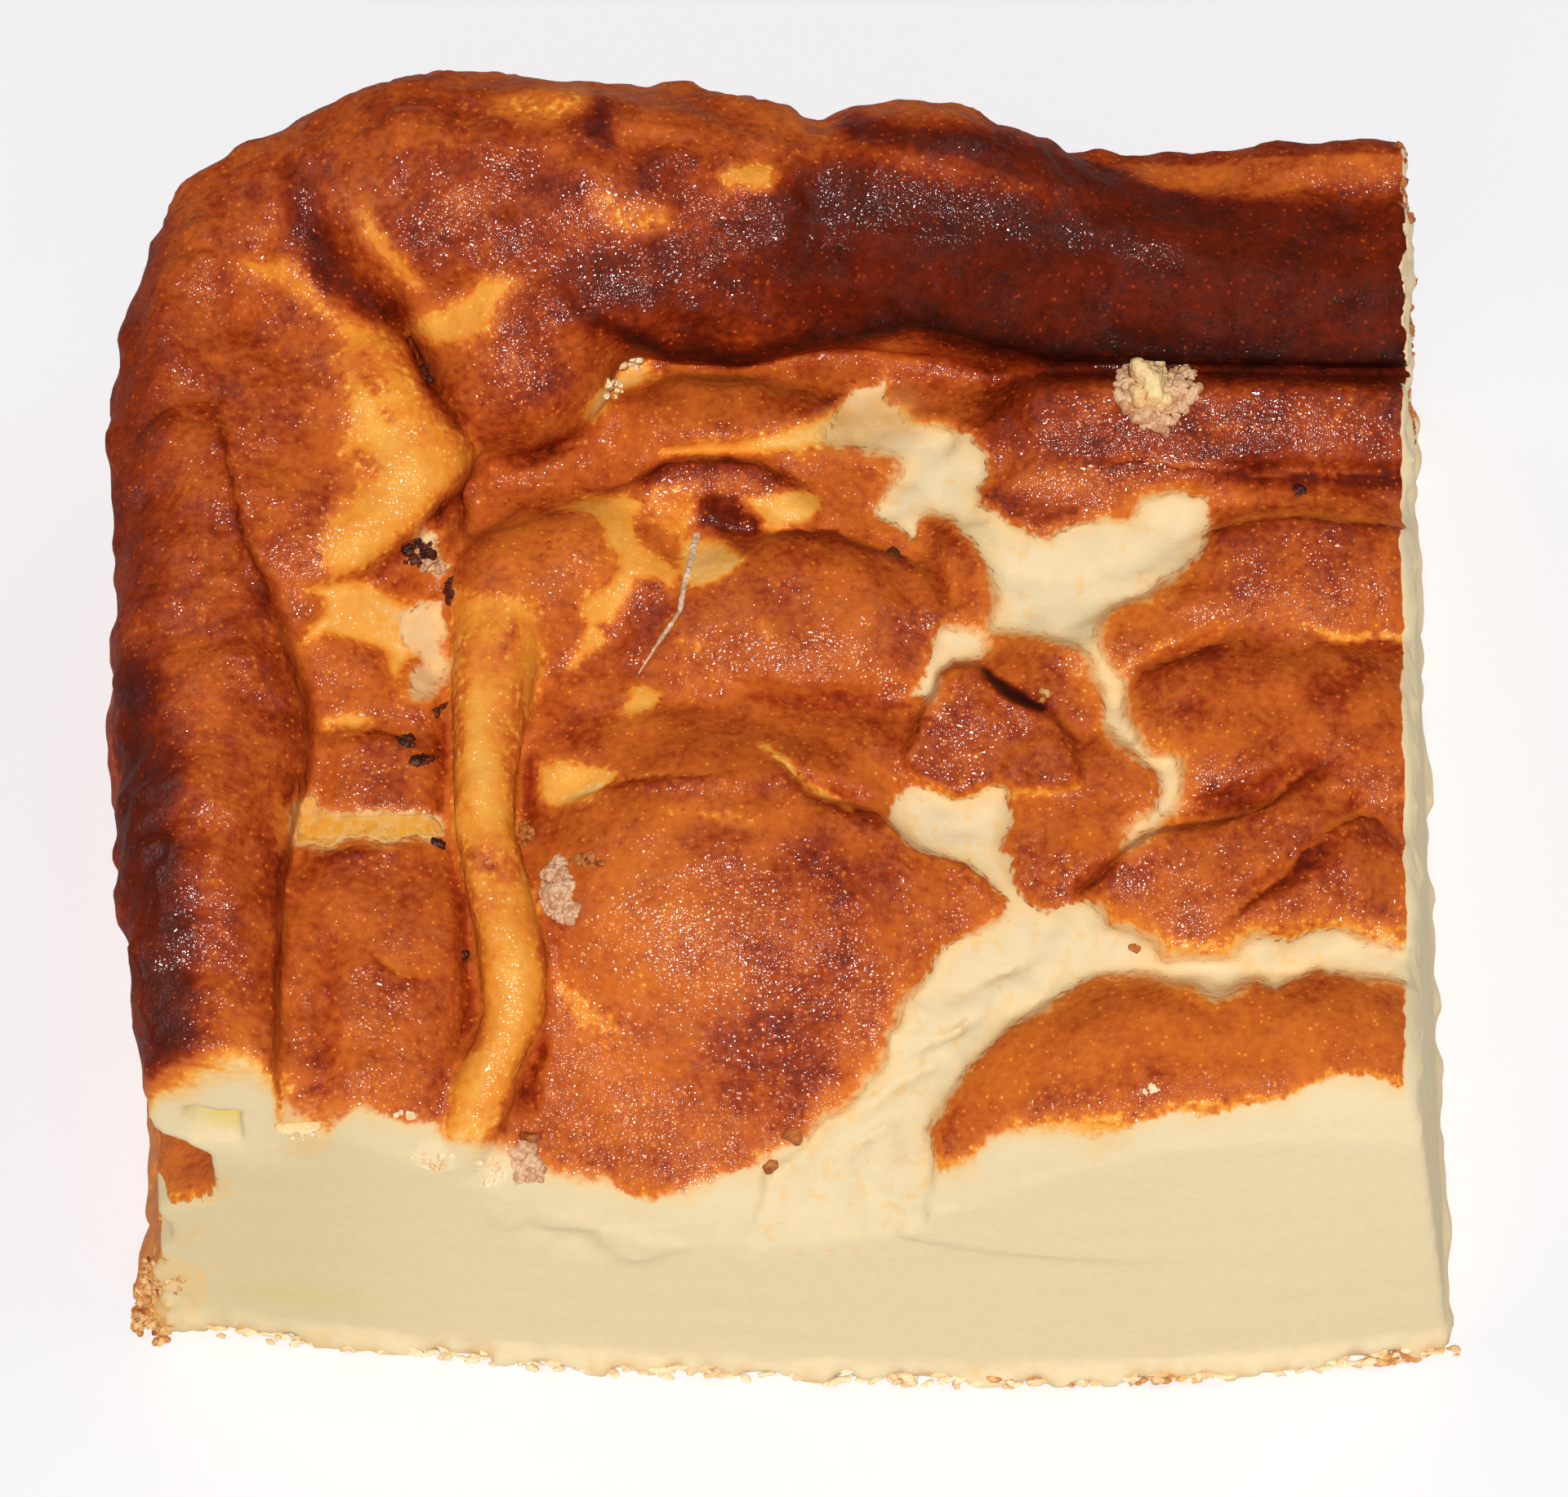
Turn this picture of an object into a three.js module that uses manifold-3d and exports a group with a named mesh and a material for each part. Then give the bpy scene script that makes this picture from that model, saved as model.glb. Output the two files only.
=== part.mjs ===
// A corner portion of far breton: a dense baked custard with a puffed, folded rim along the left
// and the back, a wrinkled and cracked skin on top, and clean knife cuts at the front and the right.
// Lengths are millimetres. X runs along the front cut, Y goes away from it, Z is up.
import * as THREE from "three";
import { mergeVertices } from "three/addons/utils/BufferGeometryUtils.js";
import { edgeTable, triTable } from "three/addons/objects/MarchingCubes.js";
import Module from "manifold-3d";

// Whole portion
const CUSTARD_LEVEL = 27.6;
const LEFT_WALL = -44.3;
const BACK_WALL = 38.0;
const CORNER_RADIUS = 14;
const WALL_TO_TOP_ROUNDING = 3;
const LEFT_WALL_TAPER = 1.9;
const LEFT_TAPER_START = 12;
const CORNER_BLEND = [-4, 6];
const TOP_STEEPNESS = 0.8;
const BASE_FLARE = 1.3;
const BASE_FLARE_HEIGHT = 4;

// Knife cuts: where each cut meets the board, how it bows along its length and how it leans in
const FRONT_CUT_FOOT = -40.1;
const FRONT_CUT_FOOT_X = 16;
const FRONT_CUT_BOW_LEFT = 0.00126;
const FRONT_CUT_BOW_RIGHT = 0.0029;
const FRONT_CUT_LEAN = 0.133;
const FRONT_SHOULDER = 3.0;
const RIGHT_CUT_FOOT = 45.1;
const RIGHT_CUT_LEAN_FRONT = 0.136;
const RIGHT_CUT_LEAN_BACK = 0.06;
const RIGHT_SHOULDER = 1.2;
const HALF_SPAN = 45;

// Horizontal folds that run along the outer walls under the rim
const LEFT_FOLDS = [
  { level: 17.8, half: 3.7, depth: 4.6, fadeFrom: -26, fadeTo: 22 },
  { level: 10.4, half: 1.8, depth: 1.5, fadeFrom: -30, fadeTo: 2 },
];
const BACK_FOLD = { level: 21.5, half: 3.2, depth: 1.4 };

// The top sinks towards the middle of the front cut
const FRONT_SAG = { at: [-5, -40], half: [19, 13], depth: 10.5 };

// Creases, cracks and the flake are laid out on one level and carried along sight lines from here
const LAYOUT_LEVEL = 30;
const LAYOUT_EYE = new THREE.Vector3(-0.25, -300, 535.8);
// They end at a level that is low at the sunken front, higher inside and highest at the back wall
const SKIN_LEVELS = { front: 14, inside: 25, back: 33, fade: 4 };
const SUNKEN_STRIP = [-34, -16];
const BACK_STRIP = [30, 37];
const SKIN_REACH = 9;

// Plump islands and hollows of the top: centre, half lengths, turn in degrees, rise
const PUFFS = {
  frontDome: { at: [-3.5, -18], half: [15, 13], turn: 0, rise: 3.8 },
  middleDome: { at: [0, 3], half: [12, 8], turn: 0, rise: 3.2 },
  middleBand: { at: [-3, -7.5], half: [14, 5], turn: 0, rise: 1.5 },
  frontRight: { at: [27, -31], half: [19, 8.5], turn: 6, rise: 3.2 },
  rightDome: { at: [33, -6], half: [15, 9], turn: 0, rise: 3.0 },
  rightLower: { at: [31, -17.5], half: [14, 6], turn: 10, rise: 2.6 },
  rightUpper: { at: [35, 7], half: [12, 7], turn: 0, rise: 2.6 },
  rightTongue: { at: [24, 2], half: [7, 4], turn: 15, rise: 1.8 },
  backBand: { at: [28, 17.5], half: [24, 6.5], turn: 0, rise: 3.0 },
  backTongue: { at: [18, 11], half: [8, 4.5], turn: 0, rise: 1.6 },
  smallIsland: { at: [11.5, 6], half: [3.5, 6], turn: -8, rise: 1.4 },
  centreIsland: { at: [20, -13], half: [7, 9], turn: 20, rise: 1.8 },
  centreUpper: { at: [17, -2], half: [6, 5], turn: 0, rise: 1.5 },
  paleLobe: { at: [-11.5, 8.5], half: [6, 6], turn: 0, rise: 1.6 },
  underRoll: { at: [-4, 19], half: [11, 4.5], turn: -5, rise: 1.8 },
  leftBlock: { at: [-28, -9.5], half: [6, 5], turn: 0, rise: 1.2 },
  leftFront: { at: [-28, -25], half: [8, 14], turn: 0, rise: 1.5 },
  leftInner: { at: [-28, -2.5], half: [6, 4], turn: 0, rise: 0.9 },
  flapBody: { at: [-35, 15], half: [14, 20], turn: 0, rise: 7.2 },
};

// Rolls and ridges: x, y, z of the core and its radius, from end to end
const STRANDS = {
  rim: {
    blend: 1.2,
    path: [
      [-37.4, -46, 26, 4.4], [-37.7, -35, 26.8, 4.5], [-38.5, -25, 28.6, 4.9], [-38.9, -15, 29, 5.6],
      [-38.4, -8, 28.2, 6.5], [-39.3, 0, 28.6, 6.0], [-41.2, 8, 30, 4.9], [-42.1, 16, 31, 4.4],
      [-41.7, 24, 31.6, 4.4], [-39.4, 29, 32, 5.0], [-36.4, 32, 32.4, 5.6], [-32.6, 33, 33.2, 6.8],
      [-27, 32.4, 34.2, 8.5], [-19, 31.6, 34.2, 9.5], [-12, 31.2, 34.3, 9.3], [-4, 31.2, 33.8, 8.5],
      [2, 31.2, 32.8, 7.6], [8.5, 31.4, 33, 8.4], [14, 31, 31.6, 8.2], [20, 30.4, 29.8, 7.7],
      [27, 29.9, 28.6, 7.3], [36, 29.6, 28.4, 7.0], [54, 29.6, 28.4, 7.0],
    ],
  },
  backLip: {
    blend: 1.6,
    path: [
      [14, 36, 32, 2.2], [19, 36.4, 31.4, 2.3], [24, 36.5, 30.8, 2.5], [30, 36.4, 31, 2.6],
      [36, 36.2, 31.8, 2.8], [54, 36.2, 32.8, 2.8],
    ],
  },
  tongue: {
    blend: 2.5,
    path: [[-19.4, 31, 33.6, 9], [-19.4, 25.5, 32.6, 7.2], [-18.6, 21.6, 31.2, 6.4]],
  },
  flapCrest: {
    blend: 2.5,
    path: [
      [-33, 26.5, 33.2, 3.4], [-30, 22, 32.4, 3.4], [-27.6, 18, 31.8, 3.8], [-25.6, 14.2, 31, 4.0],
      [-26.2, 11, 30.4, 4.0], [-28.4, 8.6, 30, 3.8], [-31, 7, 29.8, 3.6],
    ],
  },
  hump: {
    blend: 2.5,
    path: [[-15.5, 7.2, 26.5, 4.8], [-18.6, 5, 27, 4.6]],
  },
  worm: {
    blend: 0.8,
    path: [
      [-18.8, 6, 27.4, 4.0], [-19.6, 2, 28, 3.2], [-20, -2, 28.4, 2.9], [-20.3, -8, 28.8, 2.4],
      [-20.3, -12, 28.8, 2.2], [-19.9, -16, 28.6, 2.1], [-18.9, -20.5, 28, 2.2], [-18.3, -24.5, 27.2, 2.3],
      [-18.7, -28.2, 26.1, 2.2], [-20.1, -31.4, 25, 2.1], [-21.6, -35, 23.8, 1.9],
    ],
  },
  crescent: {
    blend: 1.0,
    path: [[-10.5, 12.6, 27.6, 1.6], [-7, 14.2, 27.9, 2], [-3, 13.8, 27.9, 2], [0.4, 11.8, 27.6, 1.6]],
  },
};

// Creases pressed between the folds: depth, then x, y and half width along each
const CREASES = {
  corner: { depth: 2.4, path: [[-34.6, 39, 0.9], [-33.4, 34, 1.2], [-30.2, 29.2, 1.2], [-27, 26, 1.1]] },
  flapTongue: { depth: 2.4, path: [[-27, 26, 1.1], [-25.5, 22.3, 1.1], [-23, 18.4, 1], [-21, 14.8, 1]] },
  flapLip: { depth: 1.4, path: [[-21, 14.4, 1], [-25, 8.4, 1], [-29, 5.2, 1], [-32, 4.8, 1]] },
  tongueLip: { depth: 1.2, path: [[-21, 14.4, 1], [-17.5, 15, 1], [-13, 17, 1]] },
  underRoll: {
    depth: 1.4,
    path: [[-13, 25.5, 1], [-8, 22.5, 1], [-3, 22, 1], [10, 25.4, 1.1], [18, 22.7, 1], [52, 21.6, 1]],
  },
  leftRim: {
    depth: 1.4,
    path: [[-38.4, 18, 1], [-35, 4, 1], [-31.9, -9, 1], [-33.6, -18, 1], [-33.6, -46, 1]],
  },
  leftFold: { depth: 0.9, path: [[-30.6, -20, 0.9], [-30.4, -30, 1], [-30.6, -46, 1]] },
  rightSoft: { depth: 0.8, path: [[25, -13.2, 1], [31, -11.6, 1.1], [38, -8.2, 1]] },
  rightLower: { depth: 0.7, path: [[29, -20.6, 1], [33.5, -17.4, 1], [38, -13.6, 1]] },
  backBand: { depth: 0.9, path: [[28, 13.6, 1], [36, 13.4, 1.1], [52, 13, 1]] },
};

// Pale cracks where the skin has parted: x, y and half width along each, all equally shallow
const CRACK_DEPTH = 0.9;
const CRACK_EDGE = 1.3;
const CRACKS = {
  upper: [[6, 20, 1.2], [8, 17, 1.8], [9.6, 13, 3.4], [11, 10, 2]],
  upperRight: [[12, 9, 1.8], [16, 6, 4.2], [20, 6, 3.8], [26, 9.6, 2.4]],
  middle: [
    [18, 3, 2.6], [20.5, -0.5, 1], [22, -5.5, 1.2], [25, -10, 1], [24.6, -13, 0.7], [18.5, -19.5, 0.6],
  ],
  behindFlake: [[9.2, -3.8, 0.8], [10.8, -0.6, 1.1], [13, 1, 1]],
  underFlake: [[8, -13, 1], [12, -14, 2], [14, -17, 1], [15.5, -20, 0.9]],
  wide: [[17.5, -21.5, 1.8], [12.5, -26, 3.2], [9, -31, 3], [6, -36, 3.3], [3, -42, 5]],
  across: [[18, -21.6, 1.5], [25, -24.5, 0.9], [32, -24.5, 1.2], [36, -23.5, 1.3], [46, -25, 1.4]],
  leftStrip: [[-33, -12.6, 1.1], [-23, -14.4, 1.1]],
  leftPatch: [[-33, 3.6, 0.8], [-28, 2.4, 2], [-24.5, 2.6, 2.2], [-24, -2.5, 0.9]],
  backStrip: [[-9, 16, 0.7], [-3, 15.7, 0.8], [3, 17, 1], [7, 18.5, 1]],
};

// The lifted flake of skin near the middle
const FLAKE_LIFT = 1.5;
const FLAKE_EDGE = 0.8;
const FLAKE_OUTLINE = [
  [7.6, -9], [8.6, -6], [11, -1.4], [13, -2], [15, -4],
  [18, -5.5], [20, -9.6], [16.5, -11.2], [11, -12], [8.4, -11],
];

// Fineness of the faceted surface
const CELL = new THREE.Vector3(1.88, 1.88, 2.1);
const REACH_LOW = new THREE.Vector3(-50, -46, -3.9);
const REACH_HIGH = new THREE.Vector3(50, 44, 47);
const VERTEX_MARGIN = 0.06;
const OUTSIDE = 0.2;
const MERGE_DISTANCE = 1e-4;
const PATH_STEPS = 3;
const KNIFE_STEPS = 10;
const KNIFE_REACH = 60;
const KNIFE_LOW = -6;
const KNIFE_HIGH = 50;
const BOARD_THICKNESS = 20;

const clamp01 = (v) => Math.min(Math.max(v, 0), 1);
const smoothstep = (low, high, v) => {
  const t = clamp01((v - low) / (high - low));
  return t * t * (3 - 2 * t);
};
const blendUnion = (a, b, k) => {
  const h = Math.max(k - Math.abs(a - b), 0) / k;
  return Math.min(a, b) - (h * h * k) / 4;
};
const blendCut = (a, b, k) => -blendUnion(-a, -b, k);

// Points and radii along a smooth path through the given stations.
function smoothPath(stations) {
  const core = new THREE.CatmullRomCurve3(stations.map((s) => new THREE.Vector3(s[0], s[1], s[2])));
  const size = new THREE.CatmullRomCurve3(stations.map((s) => new THREE.Vector3(s[3], 0, 0)));
  core.curveType = "catmullrom";
  size.curveType = "catmullrom";
  const count = (stations.length - 1) * PATH_STEPS;
  return Array.from({ length: count + 1 }, (_, i) => {
    const p = core.getPoint(i / count);
    return { x: p.x, y: p.y, z: p.z, r: size.getPoint(i / count).x };
  });
}

// Distance to the surface of a roll with a changing radius.
function rollDistance(path, x, y, z) {
  let best = Infinity;
  for (let i = 0; i + 1 < path.length; i += 1) {
    const a = path[i];
    const b = path[i + 1];
    const dx = b.x - a.x;
    const dy = b.y - a.y;
    const dz = b.z - a.z;
    const t = clamp01(((x - a.x) * dx + (y - a.y) * dy + (z - a.z) * dz) / (dx * dx + dy * dy + dz * dz));
    const away = Math.hypot(x - a.x - t * dx, y - a.y - t * dy, z - a.z - t * dz);
    best = Math.min(best, away - a.r - t * (b.r - a.r));
  }
  return best;
}

// Distance in plan to the edge of a stroke with a changing half width.
function strokeDistance(stroke, x, y) {
  let best = Infinity;
  for (let i = 0; i + 1 < stroke.length; i += 1) {
    const [ax, ay, aw] = stroke[i];
    const [bx, by, bw] = stroke[i + 1];
    const dx = bx - ax;
    const dy = by - ay;
    const t = clamp01(((x - ax) * dx + (y - ay) * dy) / (dx * dx + dy * dy));
    best = Math.min(best, Math.hypot(x - ax - t * dx, y - ay - t * dy) - aw - t * (bw - aw));
  }
  return best;
}

// Depth of a crease pressed along a stroke.
function creaseDepth({ depth, path }, x, y) {
  let pressed = 0;
  for (let i = 0; i + 1 < path.length; i += 1) {
    const [ax, ay, aw] = path[i];
    const [bx, by, bw] = path[i + 1];
    const dx = bx - ax;
    const dy = by - ay;
    const t = clamp01(((x - ax) * dx + (y - ay) * dy) / (dx * dx + dy * dy));
    const away = Math.hypot(x - ax - t * dx, y - ay - t * dy) / (aw + t * (bw - aw));
    pressed = Math.max(pressed, Math.exp(-away * away));
  }
  return depth * pressed;
}

// Signed distance in plan to a closed outline, negative inside.
function outlineDistance(outline, x, y) {
  let nearest = Infinity;
  let inside = false;
  outline.forEach(([ax, ay], i) => {
    const [bx, by] = outline[(i + 1) % outline.length];
    const t = clamp01(((x - ax) * (bx - ax) + (y - ay) * (by - ay)) / ((bx - ax) ** 2 + (by - ay) ** 2));
    nearest = Math.min(nearest, Math.hypot(x - ax - t * (bx - ax), y - ay - t * (by - ay)));
    if (ay > y !== by > y && x < ((bx - ax) * (y - ay)) / (by - ay) + ax) inside = !inside;
  });
  return inside ? -nearest : nearest;
}

const puffShapes = Object.values(PUFFS).map(({ at, half, turn, rise }) => ({
  at,
  half,
  rise,
  cos: Math.cos(THREE.MathUtils.degToRad(turn)),
  sin: Math.sin(THREE.MathUtils.degToRad(turn)),
}));
const strandShapes = Object.values(STRANDS).map(({ blend, path }) => ({ blend, path: smoothPath(path) }));
const creaseShapes = Object.values(CREASES);
const crackShapes = Object.values(CRACKS);

const frontCut = (x, z) => {
  const along = x - FRONT_CUT_FOOT_X;
  const bow = along < 0 ? FRONT_CUT_BOW_LEFT : FRONT_CUT_BOW_RIGHT;
  return FRONT_CUT_FOOT + bow * along * along + FRONT_CUT_LEAN * z;
};
const rightCut = (y, z) => {
  const back = clamp01((y + HALF_SPAN) / (2 * HALF_SPAN));
  return RIGHT_CUT_FOOT - z * THREE.MathUtils.lerp(RIGHT_CUT_LEAN_FRONT, RIGHT_CUT_LEAN_BACK, back);
};

// How far a rounded edge of the given radius has dropped at a distance from the cut.
const shoulderDrop = (radius, away) => {
  const t = clamp01((radius - away) / radius);
  return radius * (1 - Math.sqrt(1 - t * t * 0.96));
};

// Place on the layout level that lies on the same sight line.
function layoutPlace(x, y, z) {
  const t = (z - LAYOUT_LEVEL) / (LAYOUT_EYE.z - z);
  return [x + t * (x - LAYOUT_EYE.x), y + t * (y - LAYOUT_EYE.y)];
}

// Height of the custard and its puffs, without the rolls.
function topHeight(x, y) {
  let height = CUSTARD_LEVEL;
  for (const { at, half, rise, cos, sin } of puffShapes) {
    const u = ((x - at[0]) * cos + (y - at[1]) * sin) / half[0];
    const v = ((y - at[1]) * cos - (x - at[0]) * sin) / half[1];
    height += rise * smoothstep(0, 1, 1 - u * u - v * v);
  }
  const { at, half, depth } = FRONT_SAG;
  height -= depth * Math.exp(-(((x - at[0]) / half[0]) ** 2) - ((y - at[1]) / half[1]) ** 2);
  height -= shoulderDrop(FRONT_SHOULDER, y - frontCut(x, height));
  height -= shoulderDrop(RIGHT_SHOULDER, rightCut(y, height) - x);
  return height;
}

// How far the skin is pressed in, parted or lifted at a place.
function skinRelief(x, y, z) {
  const [u, v] = layoutPlace(x, y, z);
  let pressed = 0;
  for (const crease of creaseShapes) pressed += creaseDepth(crease, u, v);
  let parted = 0;
  for (const crack of crackShapes) {
    parted = Math.max(parted, smoothstep(CRACK_EDGE, -CRACK_EDGE, strokeDistance(crack, u, v)));
  }
  const lifted = smoothstep(FLAKE_EDGE, -FLAKE_EDGE, outlineDistance(FLAKE_OUTLINE, u, v));
  const { front, inside, back, fade } = SKIN_LEVELS;
  const risen = front + (inside - front) * smoothstep(...SUNKEN_STRIP, y);
  const end = risen + (back - inside) * smoothstep(...BACK_STRIP, y);
  return smoothstep(end, end + fade, z) * (pressed + CRACK_DEPTH * parted - FLAKE_LIFT * lifted);
}

// Distance to the outer walls, with their folds and the flare of the base.
function wallDistance(x, y, z) {
  const toFront = smoothstep(LEFT_TAPER_START, FRONT_CUT_FOOT, y);
  const u = LEFT_WALL + LEFT_WALL_TAPER * toFront + CORNER_RADIUS - x;
  const v = y - BACK_WALL + CORNER_RADIUS;
  let away = Math.min(Math.max(u, v), 0) + Math.hypot(Math.max(u, 0), Math.max(v, 0)) - CORNER_RADIUS;
  const onLeft = smoothstep(...CORNER_BLEND, u - v);
  for (const { level, half, depth, fadeFrom, fadeTo } of LEFT_FOLDS) {
    away += depth * onLeft * smoothstep(fadeTo, fadeFrom, y) * Math.exp(-(((z - level) / half) ** 4));
  }
  away += BACK_FOLD.depth * (1 - onLeft) * Math.exp(-(((z - BACK_FOLD.level) / BACK_FOLD.half) ** 2));
  return away - BASE_FLARE * smoothstep(BASE_FLARE_HEIGHT, 0, z);
}

// Signed field of the baked cake before the knife: negative inside.
function bakedField(x, y, z) {
  let field = blendCut((z - topHeight(x, y)) * TOP_STEEPNESS, wallDistance(x, y, z), WALL_TO_TOP_ROUNDING);
  for (const { blend, path } of strandShapes) field = blendUnion(field, rollDistance(path, x, y, z), blend);
  return Math.abs(field) < SKIN_REACH ? field + skinRelief(x, y, z) : field;
}

// Faceted surface of a field inside a box of cells.
function facet(field, low, high, cell) {
  const counts = ["x", "y", "z"].map((k) => Math.ceil((high[k] - low[k]) / cell[k]) + 1);
  const [nx, ny, nz] = counts;
  const at = (i, j, k) => new THREE.Vector3(low.x + i * cell.x, low.y + j * cell.y, low.z + k * cell.z);
  const values = new Float64Array(nx * ny * nz);
  const index = (i, j, k) => i + nx * (j + ny * k);
  for (let k = 0; k < nz; k += 1) {
    for (let j = 0; j < ny; j += 1) {
      for (let i = 0; i < nx; i += 1) {
        const p = at(i, j, k);
        const rim = i === 0 || j === 0 || k === 0 || i === nx - 1 || j === ny - 1 || k === nz - 1;
        values[index(i, j, k)] = rim ? Math.max(field(p.x, p.y, p.z), OUTSIDE) : field(p.x, p.y, p.z);
      }
    }
  }
  const corner = [[0, 0, 0], [1, 0, 0], [1, 1, 0], [0, 1, 0], [0, 0, 1], [1, 0, 1], [1, 1, 1], [0, 1, 1]];
  const edge = [
    [0, 1], [1, 2], [3, 2], [0, 3], [4, 5], [5, 6], [7, 6], [4, 7], [0, 4], [1, 5], [2, 6], [3, 7],
  ];
  const positions = [];
  for (let k = 0; k + 1 < nz; k += 1) {
    for (let j = 0; j + 1 < ny; j += 1) {
      for (let i = 0; i + 1 < nx; i += 1) {
        const around = corner.map(([a, b, c]) => values[index(i + a, j + b, k + c)]);
        const which = around.reduce((bits, v, n) => bits | (v < 0 ? 1 << n : 0), 0);
        if (edgeTable[which] === 0) continue;
        const crossing = edge.map(([a, b], n) => {
          if (!(edgeTable[which] & (1 << n))) return null;
          const share = around[a] / (around[a] - around[b]);
          const t = THREE.MathUtils.clamp(share, VERTEX_MARGIN, 1 - VERTEX_MARGIN);
          const from = at(i + corner[a][0], j + corner[a][1], k + corner[a][2]);
          return from.lerp(at(i + corner[b][0], j + corner[b][1], k + corner[b][2]), t);
        });
        for (let n = 16 * which; triTable[n] !== -1; n += 3) {
          const facing = [triTable[n], triTable[n + 2], triTable[n + 1]];
          for (const e of facing) positions.push(...crossing[e].toArray());
        }
      }
    }
  }
  const geometry = new THREE.BufferGeometry();
  geometry.setAttribute("position", new THREE.Float32BufferAttribute(positions, 3));
  return mergeVertices(geometry, MERGE_DISTANCE);
}

// A block whose vertices are moved so that one side follows a knife cut.
function knifeBlock(steps, move) {
  const block = new THREE.BoxGeometry(2, 2, 2, steps[0], steps[1], steps[2]);
  block.deleteAttribute("normal");
  block.deleteAttribute("uv");
  const merged = mergeVertices(block, MERGE_DISTANCE);
  const position = merged.getAttribute("position");
  for (let i = 0; i < position.count; i += 1) {
    position.setXYZ(i, ...move(position.getX(i), position.getY(i), position.getZ(i)));
  }
  return merged;
}

const wasm = await Module();
wasm.setup();

function toSolid(geometry) {
  return new wasm.Manifold(
    new wasm.Mesh({
      numProp: 3,
      vertProperties: new Float32Array(geometry.getAttribute("position").array),
      triVerts: new Uint32Array(geometry.index.array),
    }),
  );
}

function toGeometry(solid) {
  const mesh = solid.getMesh();
  const geometry = new THREE.BufferGeometry();
  geometry.setAttribute("position", new THREE.BufferAttribute(new Float32Array(mesh.vertProperties), 3));
  geometry.setIndex(new THREE.BufferAttribute(new Uint32Array(mesh.triVerts), 1));
  return geometry;
}

const level = (w) => THREE.MathUtils.lerp(KNIFE_LOW, KNIFE_HIGH, (w + 1) / 2);
const frontKnife = knifeBlock([KNIFE_STEPS, 1, 1], (u, v, w) => {
  const x = u * KNIFE_REACH;
  const within = THREE.MathUtils.clamp(x, -HALF_SPAN, HALF_SPAN);
  return [x, v > 0 ? frontCut(within, level(w)) : -KNIFE_REACH, level(w)];
});
const rightKnife = knifeBlock([1, KNIFE_STEPS, 1], (u, v, w) => {
  const y = v * KNIFE_REACH;
  return [u < 0 ? rightCut(y, level(w)) : KNIFE_REACH, y, level(w)];
});
const board = knifeBlock([1, 1, 1], (u, v, w) => [
  u * KNIFE_REACH,
  v * KNIFE_REACH,
  w > 0 ? 0 : -BOARD_THICKNESS,
]);

const baked = toSolid(facet(bakedField, REACH_LOW, REACH_HIGH, CELL));
const cut = toSolid(frontKnife).add(toSolid(rightKnife)).add(toSolid(board));
const cake = toGeometry(baked.subtract(cut));
cake.computeBoundingBox();
const middle = cake.boundingBox.getCenter(new THREE.Vector3());
cake.translate(-middle.x, -middle.y, -cake.boundingBox.min.z);
const shaded = cake.toNonIndexed();
shaded.computeVertexNormals();

const part = new THREE.Group();
part.name = "far_breton";
const crust = new THREE.MeshStandardMaterial({ color: 0xc47a3c, roughness: 0.55, metalness: 0 });
const cakeMesh = new THREE.Mesh(shaded, crust);
cakeMesh.name = "custard_cake";
part.add(cakeMesh);

export default part;
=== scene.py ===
"""Looks of a corner portion of far breton: browned skin, pale cut custard and loose crumbs.

The form is a signed field in millimetres, worked out from the same named sizes as the solid that it
stands for, and meshed finely. Marks on the skin are laid out on one level and carried along sight lines.
"""

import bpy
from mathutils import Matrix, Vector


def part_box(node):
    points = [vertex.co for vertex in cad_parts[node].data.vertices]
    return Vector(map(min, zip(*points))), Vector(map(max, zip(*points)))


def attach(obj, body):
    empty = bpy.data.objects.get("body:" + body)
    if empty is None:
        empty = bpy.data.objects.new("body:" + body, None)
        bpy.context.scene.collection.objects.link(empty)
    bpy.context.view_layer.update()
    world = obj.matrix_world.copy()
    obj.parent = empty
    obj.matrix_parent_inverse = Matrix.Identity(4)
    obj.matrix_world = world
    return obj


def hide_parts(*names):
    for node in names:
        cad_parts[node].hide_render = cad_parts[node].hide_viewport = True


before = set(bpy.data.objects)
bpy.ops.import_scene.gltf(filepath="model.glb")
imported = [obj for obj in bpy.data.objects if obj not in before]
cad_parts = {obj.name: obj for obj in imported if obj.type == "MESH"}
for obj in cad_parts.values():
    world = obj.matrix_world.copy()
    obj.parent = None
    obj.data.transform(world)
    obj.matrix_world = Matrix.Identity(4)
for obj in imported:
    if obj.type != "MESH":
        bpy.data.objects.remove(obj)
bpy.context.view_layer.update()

import logging
import math
from collections.abc import Sequence
from dataclasses import dataclass, field
from enum import Enum

import bmesh
import bpy
import numpy as np
import openvdb
from mathutils import Vector
from mathutils.bvhtree import BVHTree

LOG = logging.getLogger("far_breton")
Array = np.ndarray
Stations = Sequence[tuple[float, ...]]
Socket = bpy.types.NodeSocket
Feeds = dict[str | int, object]
Colour = tuple[int, int, int]
Pair = tuple[float, float]
Triple = tuple[float, float, float]
MM = 0.001
FAR = 50.0


def smoothstep(low: float, high: float, value: Array) -> Array:
    """Smooth ramp from 0 at low to 1 at high."""
    t = np.clip((value - low) / (high - low), 0.0, 1.0)
    return t * t * (3.0 - 2.0 * t)


def blend_union(a: Array, b: Array, reach: float) -> Array:
    """Union of two fields, rounded where they come within reach of each other."""
    h = np.maximum(reach - np.abs(a - b), 0.0) / reach
    return np.minimum(a, b) - h * h * reach / 4.0


def blend_cut(a: Array, b: Array, reach: float) -> Array:
    """Common part of two fields, rounded where they come within reach of each other."""
    return -blend_union(-a, -b, reach)


def oval(x: Array, z: Array, at: Pair, half: Pair) -> Array:
    """Square of the distance from the middle of an oval, 1 on its line."""
    return ((x - at[0]) / half[0]) ** 2 + ((z - at[1]) / half[1]) ** 2


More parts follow.
